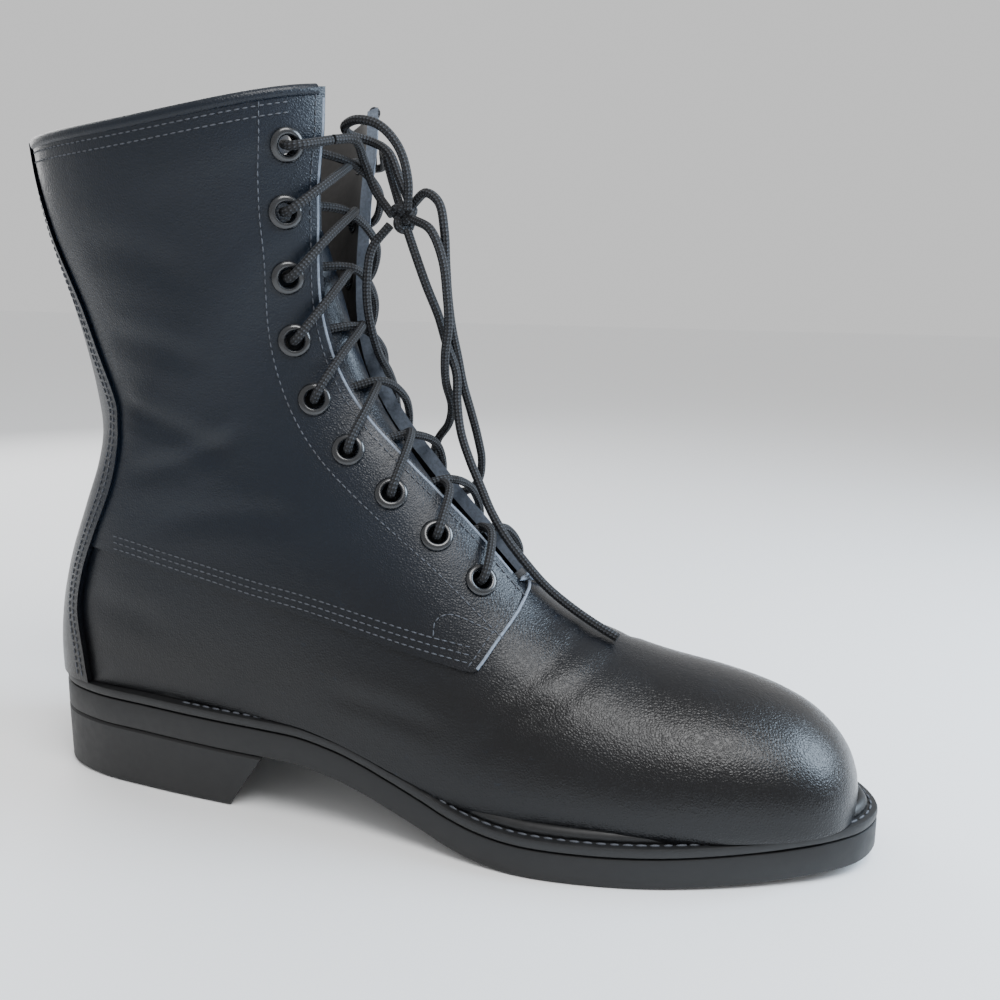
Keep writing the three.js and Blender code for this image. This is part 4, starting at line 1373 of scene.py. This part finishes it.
@dataclass
class Sole:
    """Outsole, stitched welt with its raised bead, hollow-breasted heel and insole."""

    finishes: Finishes

    def layer(self, inset: float, top: Callable, foot: Callable) -> Solid:
        """A layer with eased edges."""
        e = SIZES.edge_round
        return slab(
            [
                (inset + e, top),
                (inset + 0.3 * e, lowered(top, 0.3 * e)),
                (inset, lowered(top, e)),
                (inset, lowered(foot, -e)),
                (inset + 0.3 * e, lowered(foot, -0.3 * e)),
                (inset + e, foot),
            ]
        )

    def heel(self) -> Solid:
        """The heel block with its hollow breast."""
        e, taper = SIZES.edge_round, SIZES.heel_taper
        top = lowered(outsole_top, SIZES.outsole_thickness + SIZES.clear)
        zero = np.zeros_like
        block = slab(
            [(e, top), (0, lowered(top, e)), (taper, lowered(zero, -e)), (taper + e, zero)]
        )
        breast = SIZES.heel_length - SIZES.heel_centre
        rise = SIZES.heel_stack
        side = [
            (-296.0, -20.0), (breast - 0.8, -20), (breast - 0.8, 0), (breast, 1.6),
            (breast + SIZES.breast_slant * rise, rise), (-296, rise),
        ]
        radius = (SIZES.breast_half**2 + SIZES.breast_hollow**2) / (2 * SIZES.breast_hollow)
        turns = np.arange(160) * math.tau / 160
        post = []
        for z in (-20.0, 60.0):
            x = breast - SIZES.breast_hollow + radius + SIZES.breast_slant * z
            post.append(
                np.stack(
                    [x + radius * np.cos(turns), radius * np.sin(turns), np.full(160, z)], 1
                )
            )
        return block.keep(Solid.from_side(side)).cut(Solid.through(post))

    def build(self) -> None:
        """Build every piece of the sole."""
        look = self.finishes
        outsole = self.layer(0, outsole_top, outsole_foot)
        finish_mesh("outsole_rubber", outsole.mesh, ["outsole"], look.rubber)
        finish_mesh("heel_rubber", self.heel().mesh, ["heel"], look.rubber)
        welt = self.layer(0, seat, welt_foot).cut(
            slab([(SIZES.welt_reach, lowered(seat, -9)), (SIZES.welt_reach, lowered(seat, 20))])
        )
        finish_mesh("welt_strip", welt.mesh, ["welt"], look.welt)
        self.bead()
        e = SIZES.board_inset
        foot = lowered(seat, -(SIZES.wall + 0.6))
        top = lowered(foot, -SIZES.insole_thickness)
        board = slab([(e + 0.8, top), (e, lowered(top, 0.8)), (e, foot)])
        finish_mesh("insole_board", board.mesh, ["insole"], look.insole)
        self.stitches()

    def bead(self) -> None:
        """Build the storm bead, a low half-round against the upper's foot."""
        ring = OUTLINE.ring(SIZES.welt_show - 0.4, lowered(seat, -0.9))
        keep = np.r_[ring, ring[:1]]
        mesh = tube_mesh([keep], 2.4, 12, 1.6)
        finish_mesh("storm_bead", mesh, dress=self.finishes.welt)

    def stitches(self) -> None:
        """Sew the welt round the forefoot and waist."""
        ring = OUTLINE.ring(2.1, lowered(seat, -0.15))
        ring = np.roll(ring, -20, axis=0)[: len(ring) - 40]
        ring = ring[ring[:, 0] > 25]
        sew("welt_stitches", [(ring, np.array([0.0, 0, 1]))], self.finishes.thread, 4.0, 0.42)


def sew(
    name: str,
    lines: Sequence[tuple[np.ndarray, np.ndarray]],
    thread: bpy.types.Material,
    pitch: float = 2.6,
    thick: float = 0.32,
) -> None:
    """Stitch rows along lines, by geometry nodes made plain.

    Args:
        name: name of the piece.
        lines: each a line of points and its outward normals, one or one a point.
        thread: material of the thread.
        pitch: length of a stitch with its gap.
        thick: radius of the thread.
    """
    spots, turns = [], []
    for line, normal in lines:
        path = evenly(line, pitch)
        normals = np.broadcast_to(normal, line.shape)
        for i in range(len(path) - 1):
            spot = (path[i] + path[i + 1]) / 2
            near = int(((line - spot) ** 2).sum(1).argmin())
            ahead = Vector(path[i + 1] - path[i]).normalized()
            out = Vector(normals[near])
            side = out.cross(ahead).normalized()
            turn = Matrix((ahead, side, ahead.cross(side))).transposed()
            spots.append(spot * MILLIMETRE)
            turns.append(tuple(turn.to_euler()))
    cloud = bpy.data.meshes.new(name)
    cloud.from_pydata([tuple(p) for p in spots], [], [])
    layer = cloud.attributes.new("turn", "FLOAT_VECTOR", "POINT")
    layer.data.foreach_set("vector", [c for t in turns for c in t])
    piece = bpy.data.objects.new(name, cloud)
    bpy.context.scene.collection.objects.link(piece)
    group = bpy.data.node_groups.new(name + "_rows", "GeometryNodeTree")
    face = group.interface
    face.new_socket("Geometry", in_out="INPUT", socket_type="NodeSocketGeometry")
    length = face.new_socket("Length", in_out="INPUT", socket_type="NodeSocketFloat")
    radius = face.new_socket("Radius", in_out="INPUT", socket_type="NodeSocketFloat")
    seed = face.new_socket("Seed", in_out="INPUT", socket_type="NodeSocketInt")
    face.new_socket("Geometry", in_out="OUTPUT", socket_type="NodeSocketGeometry")
    add = group.nodes.new
    start, end = add("NodeGroupInput"), add("NodeGroupOutput")
    ball = add("GeometryNodeMeshUVSphere")
    ball.inputs["Segments"].default_value = 8
    ball.inputs["Rings"].default_value = 6
    ball.inputs["Radius"].default_value = 1
    shape, place = add("ShaderNodeCombineXYZ"), add("GeometryNodeInstanceOnPoints")
    turn, vary = add("GeometryNodeInputNamedAttribute"), add("FunctionNodeRandomValue")
    turn.data_type = "FLOAT_VECTOR"
    turn.inputs["Name"].default_value = "turn"
    vary.data_type = "FLOAT"
    vary.inputs[2].default_value, vary.inputs[3].default_value = 0.85, 1.1
    scaled = add("ShaderNodeMath")
    scaled.operation = "MULTIPLY"
    real, paint = add("GeometryNodeRealizeInstances"), add("GeometryNodeSetMaterial")
    paint.inputs["Material"].default_value = thread
    join = group.links.new
    join(start.outputs["Seed"], vary.inputs["Seed"])
    join(start.outputs["Length"], scaled.inputs[0])
    join(vary.outputs[1], scaled.inputs[1])
    join(scaled.outputs[0], shape.inputs["X"])
    join(start.outputs["Radius"], shape.inputs["Y"])
    join(start.outputs["Radius"], shape.inputs["Z"])
    join(start.outputs["Geometry"], place.inputs["Points"])
    join(ball.outputs["Mesh"], place.inputs["Instance"])
    join(turn.outputs["Attribute"], place.inputs["Rotation"])
    join(shape.outputs["Vector"], place.inputs["Scale"])
    join(place.outputs["Instances"], real.inputs["Geometry"])
    join(real.outputs["Geometry"], paint.inputs["Geometry"])
    join(paint.outputs["Geometry"], end.inputs["Geometry"])
    rows = piece.modifiers.new("rows", "NODES")
    rows.node_group = group
    rows[length.identifier] = 0.4 * pitch * MILLIMETRE
    rows[radius.identifier] = thick * MILLIMETRE
    rows[seed.identifier] = 7
    graph = bpy.context.evaluated_depsgraph_get()
    made = bpy.data.meshes.new_from_object(piece.evaluated_get(graph))
    bpy.data.objects.remove(piece)
    made.transform(Matrix.Scale(1 / MILLIMETRE, 4))
    finish_mesh(name, made, dress=thread)


@dataclass
class Seams:
    """Stitch rows, and light raw edges on the upper that are partly painted highlight, placed in the
    side view.
    """

    finishes: Finishes

    def on_side(
        self, side: Side, places: Sequence[tuple[float, float]], off: float
    ) -> tuple[np.ndarray, np.ndarray]:
        """A line on one side's leather through side-view places, with its normals."""
        line = evenly(smooth_path(np.array(places), 8), 2.5)
        spots, outs = [], []
        for x, z in line:
            u, a = LAST.from_side(side, float(x), float(z))
            spots.append(LAST.at(u, a, off))
            outs.append(LAST.normal_at(u, a))
        return np.array(spots), np.array(outs)

    def beside_throat(
        self, side: Side, low: float, high: float, past: float, off: float
    ) -> tuple[np.ndarray, np.ndarray]:
        """A line at a distance past the facing's edge."""
        spots, outs = [], []
        for u in np.linspace(low, high, 90):
            a = LAST.past_facing(float(u), side, past)
            spots.append(LAST.at(float(u), a, off))
            outs.append(LAST.normal_at(float(u), a))
        return np.array(spots), np.array(outs)

    def build(self) -> None:
        """Sew every row."""
        quarter = SIZES.quarter_step + 0.1
        stay = SIZES.quarter_step + SIZES.stay_thickness + 0.1
        edge = side_line(QUARTER_EDGE)
        lower = edge[(edge[:, 0] > 0) & (edge[:, 0] < 131) & (edge[:, 1] < 86)]
        rim = rim_line()
        rim = rim[(rim[:, 0] > -26) & (rim[:, 0] < 70)]
        back = side_line(STAY_EDGE)
        back = back[(back[:, 1] > 36) & (back[:, 1] < 208)]
        lines, edges = [], []
        for side in Side:
            for lift in (1.8, 4.0, 6.2):
                lines.append(self.on_side(side, lower + [0, lift], quarter))
            for past in (3.0, 21.0):
                lines.append(self.beside_throat(side, 0.345, 0.985, past, quarter))
            for drop in (3.4, 6.4):
                lines.append(self.on_side(side, rim - [0, drop], quarter))
            for inset in (1.8, 4.2):
                lines.append(self.on_side(side, back - [inset, 0], stay))
            tab = [(119.3, 67.5), (119.1, 72.7), (122.7, 74.2), (132, 70.4), (139, 67)]
            lines.append(self.on_side(side, tab, quarter))
            nose = edge[(edge[:, 0] > 133) & (edge[:, 1] < 80)] - [2.8, -0.6]
            lines.append(self.on_side(side, nose, quarter))
            edges.append(self.beside_throat(side, 0.362, 0.975, 0.1, SIZES.quarter_step - 0.3)[0])
            front = edge[(edge[:, 0] > 133.5) & (edge[:, 1] < 86)]
            edges.append(self.on_side(side, front, SIZES.quarter_step - 0.2)[0])
        sew("seams", lines, self.finishes.thread, 2.5, 0.26)
        # light tubes along the facings' edges: partly the raw edge's own grey, partly a painted
        # highlight of the rounded edge
        mesh = tube_mesh(edges, 0.55, 8, 1.5)
        finish_mesh("facing_edges_painted_highlight", mesh, dress=self.finishes.edge)


@dataclass
class Lacing:
    """Eyelets, crossings, knot and the free ends of the lace."""

    finishes: Finishes
    knot: tuple[float, float, float] = (94.4, 0.5, 198.3)

    def eyelets(self) -> None:
        """Build all rings as one piece of turned profiles."""
        profile = np.array(
            [
                (3, -2.7), (3.4, -2.7), (3.4, 1.5), (5.2, 1.5), (5.4, 1.75), (5.25, 2.15),
                (4.8, 2.5), (4.2, 2.72), (3.6, 2.72), (3.2, 2.5), (3, 2.1),
            ]
        )
        turns = np.arange(EYELET_SIDES) * math.tau / EYELET_SIDES
        points, faces = [], []
        for u in LAST.eyelet_places():
            for side in Side:
                a = LAST.past_facing(u, side, SIZES.eyelet_inset)
                spot, out = LAST.at(u, a), LAST.normal_at(u, a)
                first = np.cross(out, [0, 1, 0.2])
                first /= np.linalg.norm(first)
                second = np.cross(out, first)
                rings = []
                for turn in turns:
                    ray = math.cos(turn) * first + math.sin(turn) * second
                    rings.append(spot + profile[:, :1] * ray + profile[:, 1:] * out)
                base, count = len(points), len(profile)
                points.extend(np.concatenate(rings))
                for i in range(EYELET_SIDES):
                    j = (i + 1) % EYELET_SIDES
                    for k in range(count):
                        n = (k + 1) % count
                        faces.append(
                            [base + i * count + k, base + i * count + n,
                             base + j * count + n, base + j * count + k]
                        )
        mesh = mesh_of("rings", np.array(points), faces)
        if volume_of(mesh) < 0:
            mesh.flip_normals()
        names = [
            f"eyelet_{side}_{row + 1}"
            for side in ("lateral", "medial")
            for row in range(SIZES.eyelet_rows)
        ]
        finish_mesh("eyelet_rings", mesh, names, self.finishes.enamel)

    def strand(self, first: Side) -> np.ndarray:
        """Route of one strand up through the eyelets."""
        places = LAST.eyelet_places()
        wall, clear, r, inset = SIZES.wall, SIZES.clear, SIZES.lace_radius, SIZES.eyelet_inset
        under = wall + clear * 3 + r
        top = FLANGE_FOOT + SIZES.flange_height
        over = top + r + 2 * clear
        overs = [
            (inset, -clear), (inset - clear, top + r / 2),
            (inset - SIZES.hole_radius, over + clear), (-r, SIZES.quarter_step + r * 1.8),
        ]
        unders = [(-r * 2.2, -under - clear / 2), (inset / 2, -under), (inset - r, -under)]

        def spot(u: float, side: Side, past: float, off: float) -> np.ndarray:
            """Place at a distance past a facing's edge."""
            return LAST.at(u, LAST.past_facing(u, side, past), off, False)

        low = places[-1]
        points = [LAST.at(low, 0.5, -under, False)]
        points += [spot(low, first, past, off) for past, off in unders]
        side = first
        for row in range(SIZES.eyelet_rows - 1, -1, -1):
            here = places[row]
            above = places[row - 1] if row else None
            width = 2 * (inset + LAST.throat_half(here))
            for past, off in overs:
                u = here if above is None else here + (above - here) * (inset - past) / width
                points.append(spot(u, side, past, off))
            if above is None:
                break
            points.append(
                LAST.at((here + above) / 2, 0.5, first.value * -0.5 * r - r, False)
            )
            side = Side.MEDIAL if side is Side.LATERAL else Side.LATERAL
            for past, off in unders:
                u = above + (here - above) * (inset - past) / width
                points.append(spot(u, side, past, off))
        return smooth_path(np.array(points), 10)

    def build(self) -> None:
        """Build eyelets, crossings, knot and every free part."""
        look = self.finishes
        self.eyelets()
        tubes = tube_mesh([self.strand(side) for side in Side], 1.45, 12, 0.9)
        finish_mesh(
            "lace_through_eyelets", tubes, ["lace_crossings"], look.lace, 60
        )
        centre = np.array(self.knot)
        turn = np.linspace(0, math.tau, 90)
        line = np.stack(
            [
                (np.sin(turn) + 2 * np.sin(2 * turn)) * 1.25,
                -np.sin(3 * turn) * 1.7,
                (np.cos(turn) - 2 * np.cos(2 * turn)) * 1.35,
            ],
            1,
        )
        mesh = tube_mesh([centre + line], 1.5, 12, 0.8)
        finish_mesh("lace_tangle", mesh, ["lace_knot"], look.lace, 60)
        for name, route in FREE_ROUTES.items():
            path = smooth_path(route.rows + centre, 10)
            mesh = tube_mesh([path], SIZES.lace_radius, 12, LACE_STEP)
            node = "lace_" + name
            piece = finish_mesh("cord_" + name, mesh, [node], look.lace, 60)


class Studio:
    """Camera, floor and lights."""

    def camera(self) -> None:
        """Place the photo's camera."""
        yaw, pitch, roll = map(math.radians, (108.4739, -10.8476, 1.0152))
        flat = Vector((math.cos(yaw), math.sin(yaw), 0))
        ahead = flat * math.cos(pitch) + Vector((0, 0, math.sin(pitch)))
        right = Vector((math.sin(yaw), -math.cos(yaw), 0))
        up = right.cross(ahead)
        turned = right * math.cos(roll) + up * math.sin(roll)
        upright = up * math.cos(roll) - right * math.sin(roll)
        data = bpy.data.cameras.new("camera")
        data.sensor_width, data.lens = 36, 38.403
        data.clip_start = 0.01
        eye = bpy.data.objects.new("camera", data)
        bpy.context.scene.collection.objects.link(eye)
        pose = Matrix((turned, upright, -ahead)).transposed().to_4x4()
        pose.translation = Vector((240.381, -331.877, 173.549)) * MILLIMETRE
        eye.matrix_world = pose
        bpy.context.scene.camera = eye

    def light(self, name: str, spot: Sequence[float], size: float, power: float,
              colour: Sequence[float] = (1, 1, 1)) -> None:
        """Add a soft light that looks at the boot."""
        data = bpy.data.lights.new(name, "AREA")
        data.size, data.energy, data.color = size, power, colour
        lamp = bpy.data.objects.new(name, data)
        bpy.context.scene.collection.objects.link(lamp)
        aim = Vector((0.09, 0, 0.1)) - Vector(spot)
        lamp.matrix_world = Matrix.Translation(Vector(spot)) @ aim.to_track_quat(
            "-Z", "Y"
        ).to_matrix().to_4x4()

    def build(self) -> None:
        """Set up the studio."""
        paint = Paint("floor")
        paint.shader.inputs["Base Color"].default_value = (0.93, 0.935, 0.94, 1)
        paint.shader.inputs["Roughness"].default_value = 0.6
        mesh = mesh_of(
            "floor",
            FLOOR_HALF * np.array([(-1, -1, 0), (1, -1, 0), (1, 1, 0), (-1, 1, 0)], float),
            [[0, 1, 2, 3]],
        )
        mesh.materials.append(paint.material)
        floor = bpy.data.objects.new("floor", mesh)
        bpy.context.scene.collection.objects.link(floor)
        floor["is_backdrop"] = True
        world = bpy.data.worlds.new("studio")
        world.use_nodes = True
        world.node_tree.nodes["Background"].inputs[0].default_value = (1, 1, 1, 1)
        world.node_tree.nodes["Background"].inputs[1].default_value = 0.8
        bpy.context.scene.world = world
        self.light("key", (0.45, -0.3, 0.85), 0.45, 7)
        self.light("cool", (0.75, 0.2, 0.45), 0.4, 9, (0.66, 0.82, 1))
        self.light("back", (-0.6, 0.5, 0.5), 0.6, 4)


def note_size(sizes: dict[str, list[list[float]]], key: str) -> None:
    """Args:
        sizes: the bounds noted so far, which gain one entry.
        key: name of the new entry.
    """
    sizes[key] = [[float(value) for value in corner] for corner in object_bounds()]


def main() -> None:
    """Build the scene."""
    logging.basicConfig(level=logging.INFO, format="%(message)s")
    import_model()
    sizes: dict[str, list[list[float]]] = {}
    note_size(sizes, "cad")
    studio = Studio()
    studio.camera()
    finishes = Finishes.build()
    Lacing(finishes).build()
    Sole(finishes).build()
    Upper(finishes).build()
    Seams(finishes).build()
    studio.build()
    note_size(sizes, "final")


if __name__ == "__main__":
    main()
